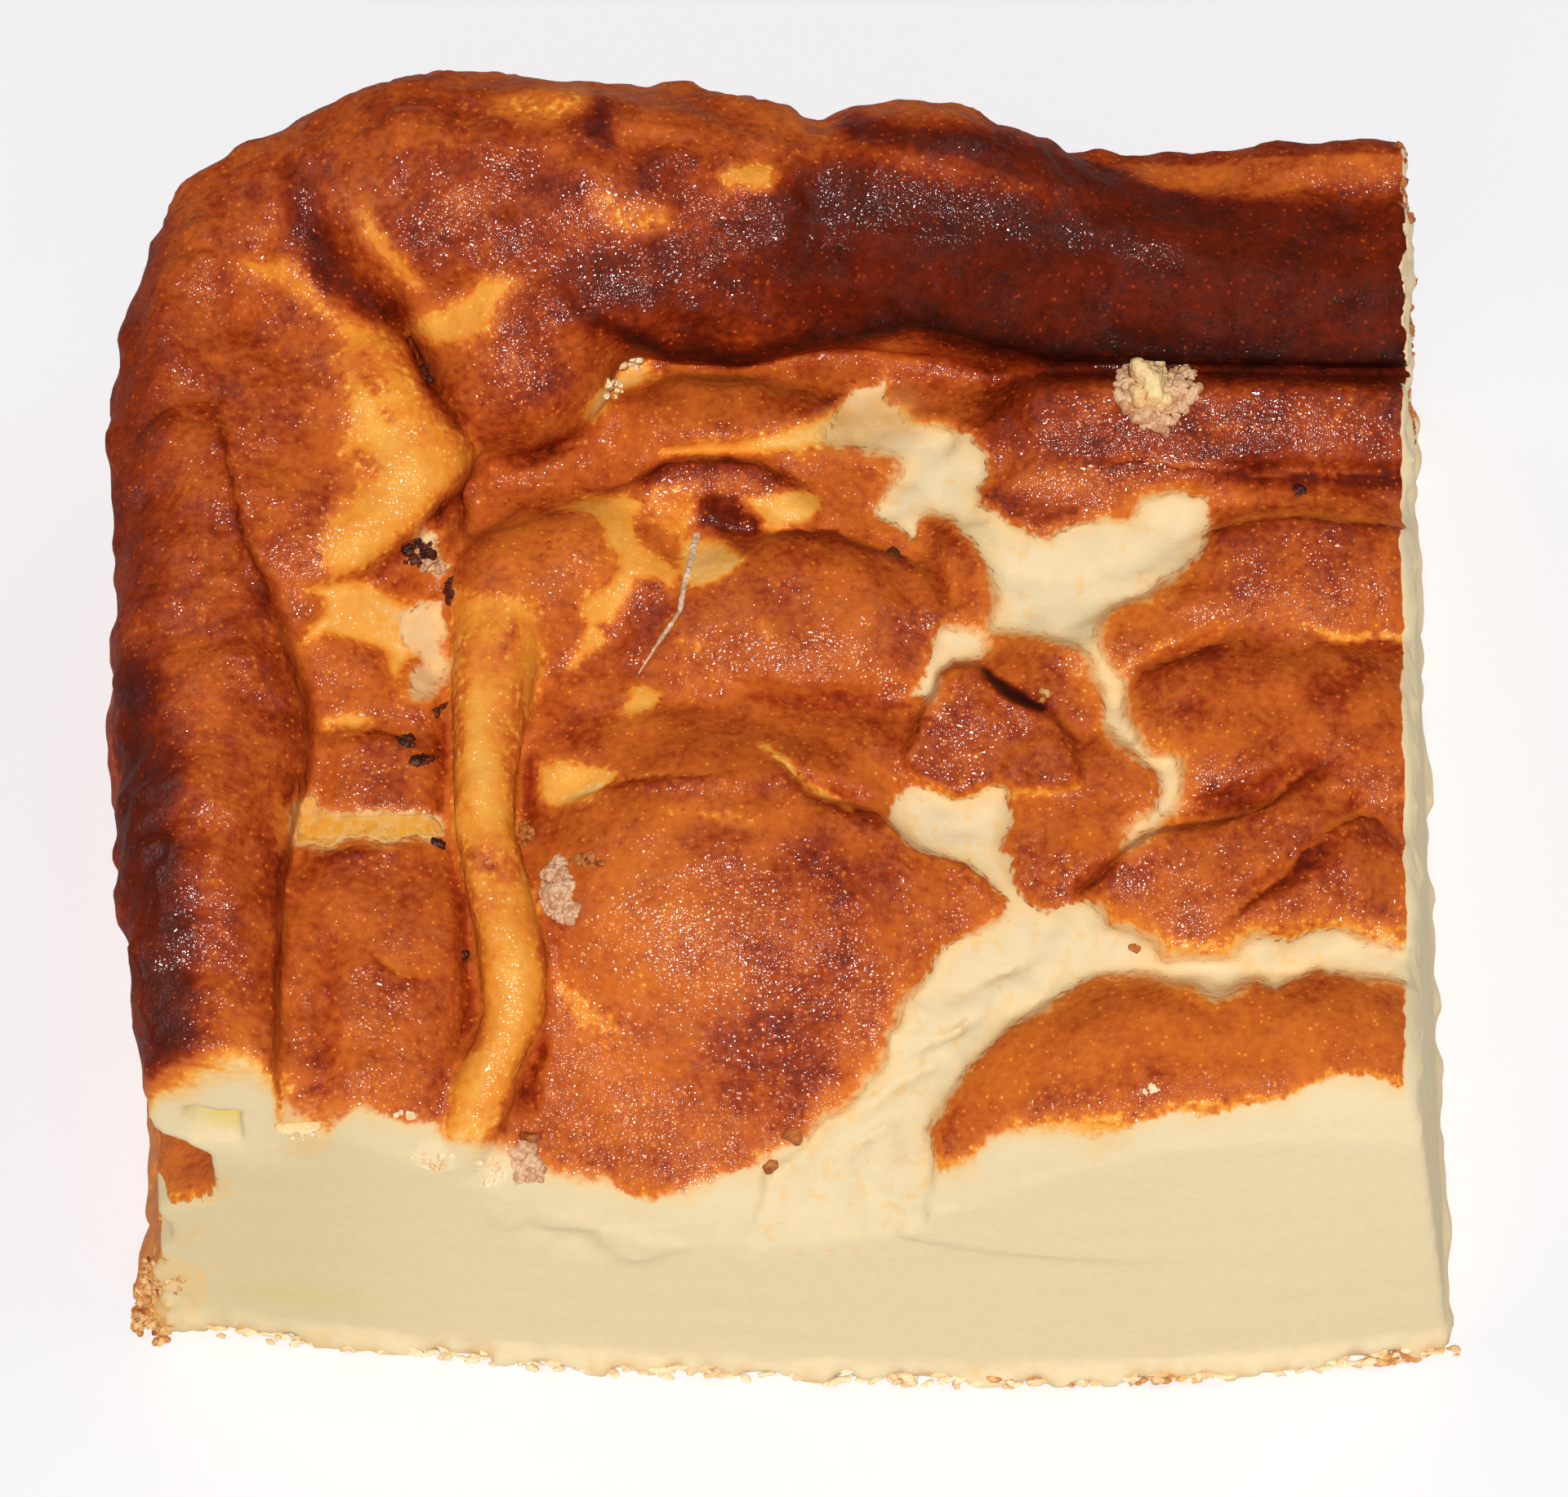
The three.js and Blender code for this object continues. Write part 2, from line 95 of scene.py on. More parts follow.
def linear(red: int, green: int, blue: int) -> tuple[float, float, float, float]:
    """Scene colour of a display colour given in steps of 255."""
    shares = (red / 255.0, green / 255.0, blue / 255.0)
    return (*(s / 12.92 if s <= 0.04045 else ((s + 0.055) / 1.055) ** 2.4 for s in shares), 1.0)


class Lattice:
    """Smooth seeded noise on a repeating grid of random values."""

    octave_shift: float = 7.3

    def __init__(self, seed: int, cells: int = 48) -> None:
        """Draws the grid.

        Args:
            seed: Seed of the random draw.
            cells: Cells along each side before the grid repeats.
        """
        self.cells = cells
        self.values = np.random.default_rng(seed).uniform(-1.0, 1.0, (cells, cells, cells)).astype(np.float32)

    def at(self, points: Array, wavelength: float) -> Array:
        """Noise between -1 and 1.

        Args:
            points: Places in millimetres, one row each.
            wavelength: Size of a cell in millimetres.

        Returns:
            One value for each place.
        """
        scaled = points / wavelength
        low = np.floor(scaled)
        t = (scaled - low).astype(np.float32)
        t = t * t * (3.0 - 2.0 * t)
        i = low.astype(np.int64) % self.cells
        j = (i + 1) % self.cells
        total = np.zeros(len(points), dtype=np.float32)
        for corner in range(8):
            picks = [j[:, k] if corner >> k & 1 else i[:, k] for k in range(3)]
            shares = [t[:, k] if corner >> k & 1 else 1.0 - t[:, k] for k in range(3)]
            total += self.values[picks[0], picks[1], picks[2]] * shares[0] * shares[1] * shares[2]
        return total

    def fractal(self, points: Array, wavelength: float, octaves: int) -> Array:
        """Sum of octaves, each half as large and half as strong as the one before.

        Args:
            points: Places in millimetres, one row each.
            wavelength: Size of the largest cells in millimetres.
            octaves: How many sizes are summed.

        Returns:
            One value for each place.
        """
        total = np.zeros(len(points), dtype=np.float32)
        for octave in range(octaves):
            total += self.at(points + self.octave_shift * octave, wavelength / 2**octave) / 2**octave
        return total


@dataclass(frozen=True)
class Puff:
    """A plump island of the top."""

    at: Pair
    half: Pair
    rise: float
    turn: float = 0.0

    def height(self, x: Array, y: Array) -> Array:
        """Height added at each place.

        Args:
            x, y: Places in millimetres.

        Returns:
            Millimetres for each place.
        """
        cos, sin = math.cos(math.radians(self.turn)), math.sin(math.radians(self.turn))
        u = ((x - self.at[0]) * cos + (y - self.at[1]) * sin) / self.half[0]
        v = ((y - self.at[1]) * cos - (x - self.at[0]) * sin) / self.half[1]
        return self.rise * smoothstep(0.0, 1.0, 1.0 - u * u - v * v)


@dataclass(frozen=True)
class Roll:
    """A rounded roll or ridge along a smooth path of x, y, z and radius."""

    blend: float
    stations: Stations
    steps: int = 4

    def path(self) -> Array:
        """Points and radii along a smooth curve through the stations.

        Returns:
            Rows of x, y, z and radius.
        """
        p = np.array(self.stations)
        p = np.vstack([2 * p[0] - p[1], p, 2 * p[-1] - p[-2]])
        rows = []
        for i in range(1, len(p) - 2):
            for t in np.arange(self.steps) / self.steps:
                a, b = 0.5 * (p[i + 1] - p[i - 1]), 0.5 * (p[i + 2] - p[i])
                d = p[i + 1] - p[i]
                rows.append(p[i] + a * t + (3 * d - 2 * a - b) * t * t + (a + b - 2 * d) * t**3)
        return np.array(rows + [p[-2]])


@dataclass(frozen=True)
class Mark:
    """A mark on the layout level, which acts only within reach of its stations."""

    stations: Stations
    reach: float = 3.5

    def near(self, u: Array, v: Array) -> Array:
        """Places close enough to the mark to matter.

        Args:
            u, v: Places on the layout level.

        Returns:
            True for each such place.
        """
        wide = self.reach + max(s[2] if len(s) > 2 else 0.0 for s in self.stations)
        across = [s[0] for s in self.stations]
        along = [s[1] for s in self.stations]
        within_u = (u > min(across) - wide) & (u < max(across) + wide)
        return within_u & (v > min(along) - wide) & (v < max(along) + wide)

    def edge(self, u: Array, v: Array) -> Array:
        """Signed distance to the edge of the mark.

        Args:
            u, v: Places on the layout level.

        Returns:
            Millimetres, negative inside the mark, and FAR well away from it.
        """
        near = self.near(u, v)
        distance = np.full(u.shape, FAR, dtype=np.float32)
        distance[near] = self.local_edge(u[near], v[near])
        return distance

    def local_edge(self, u: Array, v: Array) -> Array:
        """Signed distance to the edge, without the short cut for places far away."""
        raise NotImplementedError


def to_span(u: Array, v: Array, a: tuple[float, ...], b: tuple[float, ...]) -> tuple[Array, Array]:
    """Share of the way from a to b that is nearest to each place, and the distance to it.

    Args:
        u, v: Places on the layout level.
        a, b: Ends of the span.

    Returns:
        The share and the distance for each place.
    """
    dx, dy = b[0] - a[0], b[1] - a[1]
    t = np.clip(((u - a[0]) * dx + (v - a[1]) * dy) / (dx * dx + dy * dy), 0.0, 1.0)
    return t, np.hypot(u - a[0] - t * dx, v - a[1] - t * dy)


class Stroke(Mark):
    """A mark along a line: x, y and half width at each station."""

    def spans(self, u: Array, v: Array) -> list[tuple[Array, Array, Array]]:
        """Distance to each span of the line, the half width there and the way along the line.

        Args:
            u, v: Places on the layout level.

        Returns:
            The three values for each span.
        """
        found = []
        gone = 0.0
        for a, b in zip(self.stations, self.stations[1:]):
            t, away = to_span(u, v, a, b)
            length = math.dist(a[:2], b[:2])
            found.append((away, a[2] + t * (b[2] - a[2]), gone + t * length))
            gone += length
        return found

    def local_edge(self, u: Array, v: Array) -> Array:
        """Distance to the line less its half width."""
        return np.min([away - width for away, width, _ in self.spans(u, v)], axis=0)

    def length(self) -> float:
        """Length of the whole line."""
        return sum(math.dist(a[:2], b[:2]) for a, b in zip(self.stations, self.stations[1:]))

    def ends(self, way: Array, longest: float) -> Array:
        """Share of 1 at each way along the line, fading out towards both ends."""
        fade = min(longest, self.length() / 2.5)
        return smoothstep(0.0, fade, way) * smoothstep(0.0, fade, self.length() - way)


class Outline(Mark):
    """A mark inside a closed line through its stations."""

    def local_edge(self, u: Array, v: Array) -> Array:
        """Distance to the line, negative inside.

        Args:
            u, v: Places on the layout level.

        Returns:
            Millimetres for each place.
        """
        nearest = np.full(u.shape, FAR, dtype=np.float32)
        inside = np.zeros(u.shape, dtype=bool)
        for a, b in zip(self.stations, self.stations[1:] + self.stations[:1]):
            nearest = np.minimum(nearest, to_span(u, v, a, b)[1])
            if a[1] != b[1]:
                crossing = (b[0] - a[0]) * (v - a[1]) / (b[1] - a[1]) + a[0]
                inside ^= ((a[1] > v) != (b[1] > v)) & (u < crossing)
        return np.where(inside, -nearest, nearest)


@dataclass(frozen=True)
class Crease:
    """A line pressed into the skin."""

    depth: float
    stations: Stations
    fade: float = 4.0

    def press(self, u: Array, v: Array) -> Array:
        """Depth of the crease at each place; it fades out towards both ends.

        Args:
            u, v: Places on the layout level.

        Returns:
            Millimetres for each place.
        """
        stroke = Stroke(self.stations)
        near = stroke.near(u, v)
        depth = np.zeros(u.shape, dtype=np.float32)
        for away, width, way in stroke.spans(u[near], v[near]):
            pressed = self.depth * stroke.ends(way, self.fade) * np.exp(-((away / width) ** 2))
            depth[near] = np.maximum(depth[near], pressed)
        return depth


@dataclass(frozen=True)
class Fold:
    """A line where the skin on its right hand, seen along the line, stands over the other side."""

    rise: float
    fall: float
    stations: Stations
    fade: float = 3.0
    thin: float = 0.12
    reach: float = 8.0

    def signed(self, u: Array, v: Array) -> tuple[Array, Array, Array]:
        """Where the fold acts.

        Args:
            u, v: Places on the layout level.

        Returns:
            The places near the line, their distance to it, negative on the raised side, and its strength.
        """
        stroke = Stroke([station + (0.0,) for station in self.stations], self.reach)
        near = stroke.near(u, v)
        nearest = np.full(near.sum(), FAR, dtype=np.float32)
        signed = nearest.copy()
        strength = np.zeros(near.sum(), dtype=np.float32)
        for (away, _, way), a, b in zip(stroke.spans(u[near], v[near]), self.stations, self.stations[1:]):
            left = (b[0] - a[0]) * (v[near] - a[1]) > (b[1] - a[1]) * (u[near] - a[0])
            closer = away < nearest
            nearest = np.where(closer, away, nearest)
            signed = np.where(closer, np.where(left, away, -away), signed)
            strength = np.where(closer, stroke.ends(way, self.fade), strength)
        return near, signed, strength

    def lift(self, u: Array, v: Array) -> Array:
        """Height that the fold adds at each place.

        Args:
            u, v: Places on the layout level.

        Returns:
            Millimetres for each place.
        """
        near, signed, strength = self.signed(u, v)
        height = np.zeros(u.shape, dtype=np.float32)
        slope = np.exp(np.minimum(signed, 0.0) / self.fall)
        height[near] = self.rise * strength * smoothstep(0.2, -0.2, signed) * slope
        return height

    def shade(self, u: Array, v: Array) -> Array:
        """Change of level that the fold adds: darker on its raised side next to the line, lighter in the thin
        skin behind it.

        Args:
            u, v: Places on the layout level.

        Returns:
            One value for each place.
        """
        near, signed, strength = self.signed(u, v)
        change = np.zeros(u.shape, dtype=np.float32)
        crest = 0.1 * np.exp(np.minimum(signed, 0.0) / 1.4)
        change[near] = strength * np.where(signed < 0.0, crest, -self.thin * smoothstep(0.7, 0.1, signed))
        return change


@dataclass(frozen=True)
class Patch:
    """A level laid over an outline, of stations of two numbers, or over a stroke, of stations of three."""

    level: float
    soft: float
    stations: Stations

    def paint(self, values: Array, u: Array, v: Array) -> Array:
        """Values with this patch laid over them.

        Args:
            values: One value for each place.
            u, v: Places on the layout level.

        Returns:
            The new values.
        """
        mark = Outline(self.stations) if len(self.stations[0]) == 2 else Stroke(self.stations)
        cover = smoothstep(self.soft, -self.soft, mark.edge(u, v))
        return values + (self.level - values) * cover


def rows_of(kind: type, *rows: tuple) -> tuple:
    """One thing of a kind for each row of its values."""
    return tuple(kind(*row) for row in rows)


@dataclass
class SkinMarks:
    """Creases, cracks and browning of the skin, with some painted shadows and a painted highlight, on the
    layout level.
    """

    flake_lift: float = 0.6
    flake_lean: float = 0.17
    flake_foot: float = -12.0
    flake_span: float = 12.0
    band_lean: float = 0.22
    band_foot: float = 14.0
    band_span: float = 6.5
    skin_level: float = 0.57
    wall_level: float = 0.7
    plain_shine: float = 0.42
    rim_left: Pair = (-33.0, -37.0)
    rim_back: Pair = (23.0, 27.0)
    golden_tip: Mark = Stroke([(4, 17.6, 1), (7.5, 18.6, 1.2)])
    lip: Mark = Stroke([(-38.4, -34.3, 0.4), (-36.2, -33.8, 0.6), (-34.4, -34.8, 0.5),
        (-33.6, -36.6, 0.4)])
    flake: Outline = Outline([(7.5, -9), (8.2, -7.2), (8.6, -5.6), (10, -2.6), (11.2, -1.2),
        (12.4, -1.5), (13.4, -2.4), (15, -4), (16.6, -4.8), (18, -5.4), (19.2, -7.4), (20, -9.6),
        (19.3, -10.5), (17.2, -10.8), (15.8, -11.5), (13.4, -11), (11.2, -12), (9.8, -11.3),
        (8.4, -10.4)])
    flake_hem: Stroke = Stroke([(8, -10, 0.2), (9.8, -11.3, 0.3), (11.2, -12, 0.4),
        (13.4, -11.2, 0.4), (15.8, -11.5, 0.4), (19.4, -10.5, 0.3)])
    # Painted shadow along the upper right edge of the lifted flake.
    flake_shade: Stroke = Stroke([(13.2, -2, 0.2), (14.6, -3.4, 0.5), (16, -4.3, 0.4), (17.4, -4.9, 0.2)])
    upper_crack: Outline = Outline([(4.6, 20.6), (6.5, 20.9), (6.7, 19.6), (8.4, 17.8), (10.6, 17.2),
        (12.6, 16.4), (13.7, 15.2), (13.8, 13.4), (12.8, 12.4), (13.1, 11.1), (15.2, 9.6),
        (17.5, 8.6), (20.3, 9.6), (23.2, 9.7), (24, 11.6), (26.4, 12.1), (28.5, 11.6), (28.7, 9.6),
        (28, 7.2), (25.4, 5.2), (24.6, 4.1), (22, 3), (20.7, 1.5), (20.8, 0.2), (21.5, -1.6),
        (22.4, -2.6), (22.9, -4.2), (22.8, -6), (23.3, -7.4), (24.4, -8.6), (25.9, -8.4), (26.2, -10),
        (25.9, -12.4), (24.6, -14.2), (22.4, -15.6), (23, -14.2), (24.4, -13), (24.8, -11.4),
        (24.5, -9.6), (23.2, -8.2), (22, -7.4), (21.2, -6), (21.2, -4.4), (20.6, -2.6), (20, -1),
        (19.3, 0), (16.8, 0.9), (13.6, 1.2), (14.2, 3.4), (13.9, 6), (12.6, 8.4), (11.8, 9.8),
        (9.7, 10.9), (9, 9.8), (9.2, 8.5), (8.6, 8.2), (7.4, 9.3), (5.8, 10.1), (6.2, 11),
        (7.6, 13.6), (8.1, 14.7), (7.2, 15.3), (4.5, 16), (2.6, 16.6), (3.4, 18.6)])
    front_crack: Outline = Outline([(7, -12.6), (7.5, -11.5), (8.5, -11), (10.5, -11.8), (12, -11.7),
        (13.5, -11), (15, -11.3), (14.8, -13.5), (14.2, -15.3), (14.8, -16.5), (15, -18.5),
        (15.8, -19.5), (17, -20.8), (18.5, -20.2), (19.6, -19.9), (20.6, -20.4), (21, -21.8),
        (22.5, -21.7), (23.6, -22.3), (24.4, -22.8), (24.8, -24), (27, -23.9), (28.2, -24.3),
        (29.6, -24), (30.2, -23), (31.8, -22.2), (33, -22.9), (34.2, -22.3), (36.2, -21.9),
        (37.4, -22.3), (38.6, -22.8), (41, -23.2), (47, -23.4), (47, -26), (41, -25.9), (39.5, -25.3),
        (37.5, -25.4), (35.2, -24.7), (33.6, -25.3), (32.3, -26.2), (31, -25.4), (29.2, -26.7),
        (27.8, -27.3), (26.8, -26), (25, -25.6), (23, -24.9), (20.2, -25.2), (17, -27.6), (14, -29.5),
        (12.3, -31.8), (10.4, -34.4), (9, -36.6), (9.5, -39.6), (9, -46), (-3, -46), (-1.5, -40),
        (0.5, -39), (1.3, -37.6), (2, -36), (4.2, -34.8), (5.6, -32.8), (6.4, -31.3), (6.4, -29.6),
        (7.4, -28.4), (7.7, -27.2), (9.2, -25.5), (9.9, -24), (11.6, -22.4), (13.6, -21.4),
        (14.7, -21), (14.6, -19.6), (13.4, -18.3), (11.8, -16.8), (9, -16), (7.8, -15), (7, -13.5)])
    wedge_crack: Outline = Outline([(10.6, 1.5), (12.8, 1.2), (13.2, 0.2), (13, -0.9), (11.2, -1.1),
        (10.3, -2), (9.9, -3.6), (9.4, -4.3), (8.4, -3.9), (9.3, -2.2), (9.9, -0.5), (10, 0.8)])
    under_flap: Outline = Outline([(-26.2, 2.6), (-25.2, 3.4), (-23.2, 3.4), (-22.9, 1), (-23.2, 0),
        (-23.1, -2), (-24, -4), (-25.3, -3.8), (-25.1, -2.4), (-24.5, -1.2), (-25.9, 0.2)])
    sliver: Outline = Outline([(-24.8, 9.2), (-24, 8.6), (-23.6, 7), (-22.7, 6.2), (-23, 5.4),
        (-24.2, 6), (-24.8, 7.4)])
    under_gold: Outline = Outline([(-33, 4.5), (-31.4, 5), (-29, 5.3), (-27.4, 4.7), (-26, 3.6),
        (-25.4, 3.2), (-26, 1), (-25.2, -0.6), (-26.2, -2.8), (-27.2, -1.6), (-27.3, -0.4), (-29, 0),
        (-31, 0.8), (-33, -0.3), (-32.4, 1.5), (-31.5, 2.3), (-31.7, 3.6)])
    torn_bits: Outline = Outline([(-13.9, 18.6), (-13.2, 20.4), (-12, 21), (-11.2, 22.6), (-9.6, 23),
        (-8.6, 21.8), (-9.6, 21.3), (-10.4, 20.4), (-11.6, 20.2), (-12.4, 18.9), (-13.2, 18)])
    left_strip: Outline = Outline([(-33.2, -13), (-32.3, -11.4), (-31.3, -12.6), (-29.4, -12.9),
        (-27, -13.1), (-25, -13), (-23.2, -13.2), (-22.8, -14.3), (-23.4, -15), (-25, -14.9),
        (-26.5, -15.4), (-28, -14.8), (-29.5, -15), (-30.5, -15.8), (-31.6, -15.2), (-32.8, -15.1)])
    flap: Outline = Outline([(-33.4, 29.9), (-31, 26.6), (-28, 25.3), (-26.4, 24.3), (-25.7, 22.4),
        (-24.8, 20.5), (-23.4, 18.2), (-21.8, 16.6), (-21, 15), (-22, 13.5), (-23.6, 11.9),
        (-25.2, 9.8), (-26.7, 7.9), (-28.2, 6), (-29.8, 5.4), (-31.3, 5.2), (-31.6, 7.4),
        (-31.8, 9.2), (-30.8, 11.4), (-29.6, 12.6), (-29.8, 14), (-31, 15.2), (-30.3, 17.6),
        (-29.6, 20.5), (-30.4, 23.6), (-31.6, 26.4), (-33.8, 29.3)])
    ridge: Outline = Outline([(-22.8, 4.5), (-22.6, 1), (-23, -3), (-22.7, -7), (-22.5, -10),
        (-22.6, -13), (-22, -16), (-21.3, -19), (-21, -21), (-20.6, -24), (-20.3, -28), (-20.5, -31),
        (-22, -33), (-22.4, -35), (-22.2, -38), (-19.7, -37), (-18.6, -35.3), (-17, -32),
        (-16.1, -29), (-16, -27), (-16.3, -24), (-16.6, -21), (-17.2, -18.5), (-18, -16),
        (-17.8, -13), (-17.8, -9), (-17.6, -6), (-16.6, -2), (-15.6, 1), (-16.4, 4)])
    tail: Stroke = Stroke([(-8.3, 15.6, 0.4), (-6, 15.9, 0.7), (-3.5, 15.6, 0.6), (-1, 16.2, 0.8),
        (2, 17, 1), (4.5, 18, 1.4), (7, 17.4, 1.4), (10, 16.5, 1)])
    strand: tuple[Pair, ...] = ((-6.2, 8.6), (-6.9, 5.4), (-7.3, 2.7), (-8.7, 0.3),
        (-9.9, -1.9))
    hump: tuple[Pair, ...] = (
        (-21.5, 4), (-20.5, 8), (-18, 10.3), (-13.2, 9.9), (-12.3, 8.5), (-11.8, 6.5), (-12.5, 5.2), (-14, 2),
        (-15, -0.5), (-16, 0), (-17, 3), (-18.5, 4.5))
    column: tuple[Pair, ...] = (
        (-16.1, 10.8), (-14.2, 11.7), (-11, 12.1), (-10.1, 11.3), (-10.3, 9.7), (-9.9, 8.1), (-7.8, 6.7),
        (-7.1, 5.9), (-7.8, 4.6), (-9.4, 5.4), (-10.3, 5.4), (-11.5, 2.2), (-12.4, 1.9), (-12.1, -0.5),
        (-13.3, -0.5), (-14.9, -2.4), (-15.1, -1.3), (-14.2, 0.3), (-13.7, 1.9), (-14.4, 3.2), (-12.6, 4.6),
        (-11.5, 5.9), (-11.7, 6.7), (-12.4, 8.1), (-12.4, 9.7), (-13.5, 10.4))
    creases: tuple[Crease, ...] = rows_of(
        Crease,
        (0.8, [(-34, 36, 1.6), (-30.6, 29.4, 1.5), (-27, 26, 1.2), (-25, 21.6, 0.8), (-21, 14.8, 0.7)]),
        (1.0, [(-21, 14.4, 0.7), (-25, 8.4, 0.7), (-29, 5.2, 0.7), (-32, 4.8, 0.7)]),
        (1.0, [(-21, 14.4, 0.6), (-17.5, 15, 0.6), (-13, 17, 0.6)]),
        (0.5, [(-30.6, -20, 0.9), (-30.4, -30, 1), (-30.6, -46, 1)]),
        (0.9, [(25, -13.2, 0.8), (31, -11.6, 1.1), (38, -8.2, 1)]),
        (0.8, [(29, -20.6, 0.8), (33.5, -17.4, 0.9), (38, -13.6, 0.8)]),
        (0.9, [(28, 13.6, 0.8), (36, 13.4, 0.9), (52, 13, 0.8)]),
        (0.9, [(-5, -2.6, 0.5), (-2, -3.6, 0.6), (1, -4.3, 0.7), (4, -4.1, 0.7), (8.4, -4.3, 0.6)]),
        (0.5, [(-2.4, 8.8, 0.5), (2, 9.4, 0.5), (5.5, 8.4, 0.5), (8.5, 7, 0.5), (10, 5.4, 0.5),
            (10.2, 3, 0.5)]),
        (0.9, [(-1.2, -8.2, 0.5), (0.3, -10, 0.5), (2, -11.5, 0.6), (4, -12, 0.6), (6.8, -12.9, 0.6)]),
        (0.8, [(22.3, -2.4, 0.5), (24, -1.2, 0.5), (26.5, -0.4, 0.5), (29, 0.9, 0.5), (31, 2.1, 0.5)]),
        (0.6, [(35, 0.5, 0.5), (38.5, 0.2, 0.5), (42, 0.6, 0.5)]),
        (0.9, [(22.5, -15.5, 0.5), (20, -18, 0.6), (18, -20, 0.5)]),
        (0.5, [(37, -13.5, 0.5), (38.5, -11, 0.5)]),
        (1.6, [(-17.2, -7, 0.6), (-17.4, -13, 0.6), (-18, -15.8, 0.5)]),
        (1.6, [(-16, -28.6, 0.5), (-16.6, -31.4, 0.7), (-17.2, -33, 0.7), (-16.6, -36, 0.7)]),
        (0.9, [(-23.1, 5, 0.5), (-23.2, -3, 0.5), (-23, -9, 0.5), (-22.9, -14, 0.5), (-22, -18, 0.5),
            (-21.2, -22, 0.5), (-20.8, -28, 0.5), (-22.3, -33, 0.5)]),
        (0.6, [(-10.6, 12.4, 0.5), (-8.6, 15, 0.5), (-6, 15.6, 0.5), (-2, 15.4, 0.5), (0.8, 12.8, 0.5)]),
        (0.5, [(-5.6, 12.6, 0.5), (-5.2, 10, 0.5), (-3, 8.6, 0.5), (-1.6, 9.4, 0.5), (-2.4, 11.8, 0.5)]),
        (0.6, [(11, -27.2, 0.3), (13, -25.6, 0.35), (17, -23.6, 0.3)]),
        (0.6, [(6.6, -32.4, 0.3), (9, -30.4, 0.35), (11, -29.6, 0.35), (13.4, -27.6, 0.3)]),
        (0.5, [(3.4, -36.8, 0.35), (7, -33.4, 0.4), (11, -31, 0.3)]),
        (0.5, [(2, -39.6, 0.35), (5.6, -37, 0.4), (9, -35, 0.3)]),
        (0.4, [(16, -22, 0.3), (18.4, -21.4, 0.3), (20, -22.4, 0.3)]),
        (0.4, [(16, 6.4, 0.4), (19, 5, 0.5), (22, 5.6, 0.4)]),
        (0.8, [(9.2, 9.8, 0.3), (10.1, 6.5, 0.4), (11.1, 1.7, 0.4)]),
    )
    folds: tuple[Fold, ...] = rows_of(
        Fold,
        (0.7, 3.0, [(-16, -12.4), (-12, -11), (-9, -10.2), (-5, -10), (-2.2, -9.6)]),
        (0.9, 3.0, [(-1.8, -8.2), (0.5, -10), (2.5, -11.7), (4, -12.2), (6, -13), (7.5, -14.5),
            (9.5, -15.8), (12, -17), (14.6, -19.6)]),
        (0.9, 2.5, [(-11, 12.4), (-8.6, 14.6), (-6, 15), (-2, 14.6), (0.4, 12.6)]),
        (0.8, 3.0, [(-2.8, 8.4), (0.5, 9.2), (3, 9), (5.5, 7.8), (8, 7), (10.4, 5.2)]),
        (0.7, 3.0, [(26.6, 8), (29, 9.3), (32, 10), (36, 10.2), (41, 9.4), (47, 9.2)]),
        (0.8, 2.5, [(22.6, -3.4), (24, -1.8), (26.5, -0.9), (29, 0.2), (31.5, 2.4)]),
        (0.5, 2.5, [(34.4, 1), (37, 0.2), (40, 0.6), (47, 0.4)]),
        (1.0, 3.0, [(18.6, -20), (20, -18.4), (22, -16.2), (24, -14.6), (26, -13.9), (29, -13.6),
            (32, -12.4), (36, -8.8)]),
        (0.8, 3.0, [(28, -22), (30, -20.5), (32.5, -18.5), (34.5, -15.6), (36.5, -14), (38.4, -13.2),
            (41, -14)]),
        (0.6, 2.0, [(-32.4, -7.6), (-30, -6.6), (-27, -6.8), (-24, -7.6)]),
        (0.6, 2.0, [(-33, -15.6), (-30, -15.8), (-27, -15.4), (-24, -15.4)]),
        (0.4, 2.0, [(-29, -22), (-27, -24.4), (-25, -25.4), (-22, -25.6)]),
        (0.6, 2.0, [(20.4, 14.6), (24, 14.8), (27, 14), (32, 13.8), (38, 13.7), (47, 13.4)]),
        (1.3, 4.0, [(52, 22.2), (30, 22.6), (18, 23), (10, 25.6), (4, 24.4), (-3, 22.4), (-8, 22.9),
            (-13, 25.5)], 3.0, 0.0),
        (1.0, 4.0, [(-39, 20), (-38.4, 15), (-37, 9), (-35, 4), (-32.4, -5), (-32.2, -9),
            (-33.6, -18), (-33.6, -33), (-33.6, -46)], 3.0, 0.0),
        (0.8, 3.0, [(-27, 26.4), (-25.5, 22.3), (-23, 18.4), (-21, 14.8)], 3.0, 0.0),
    )
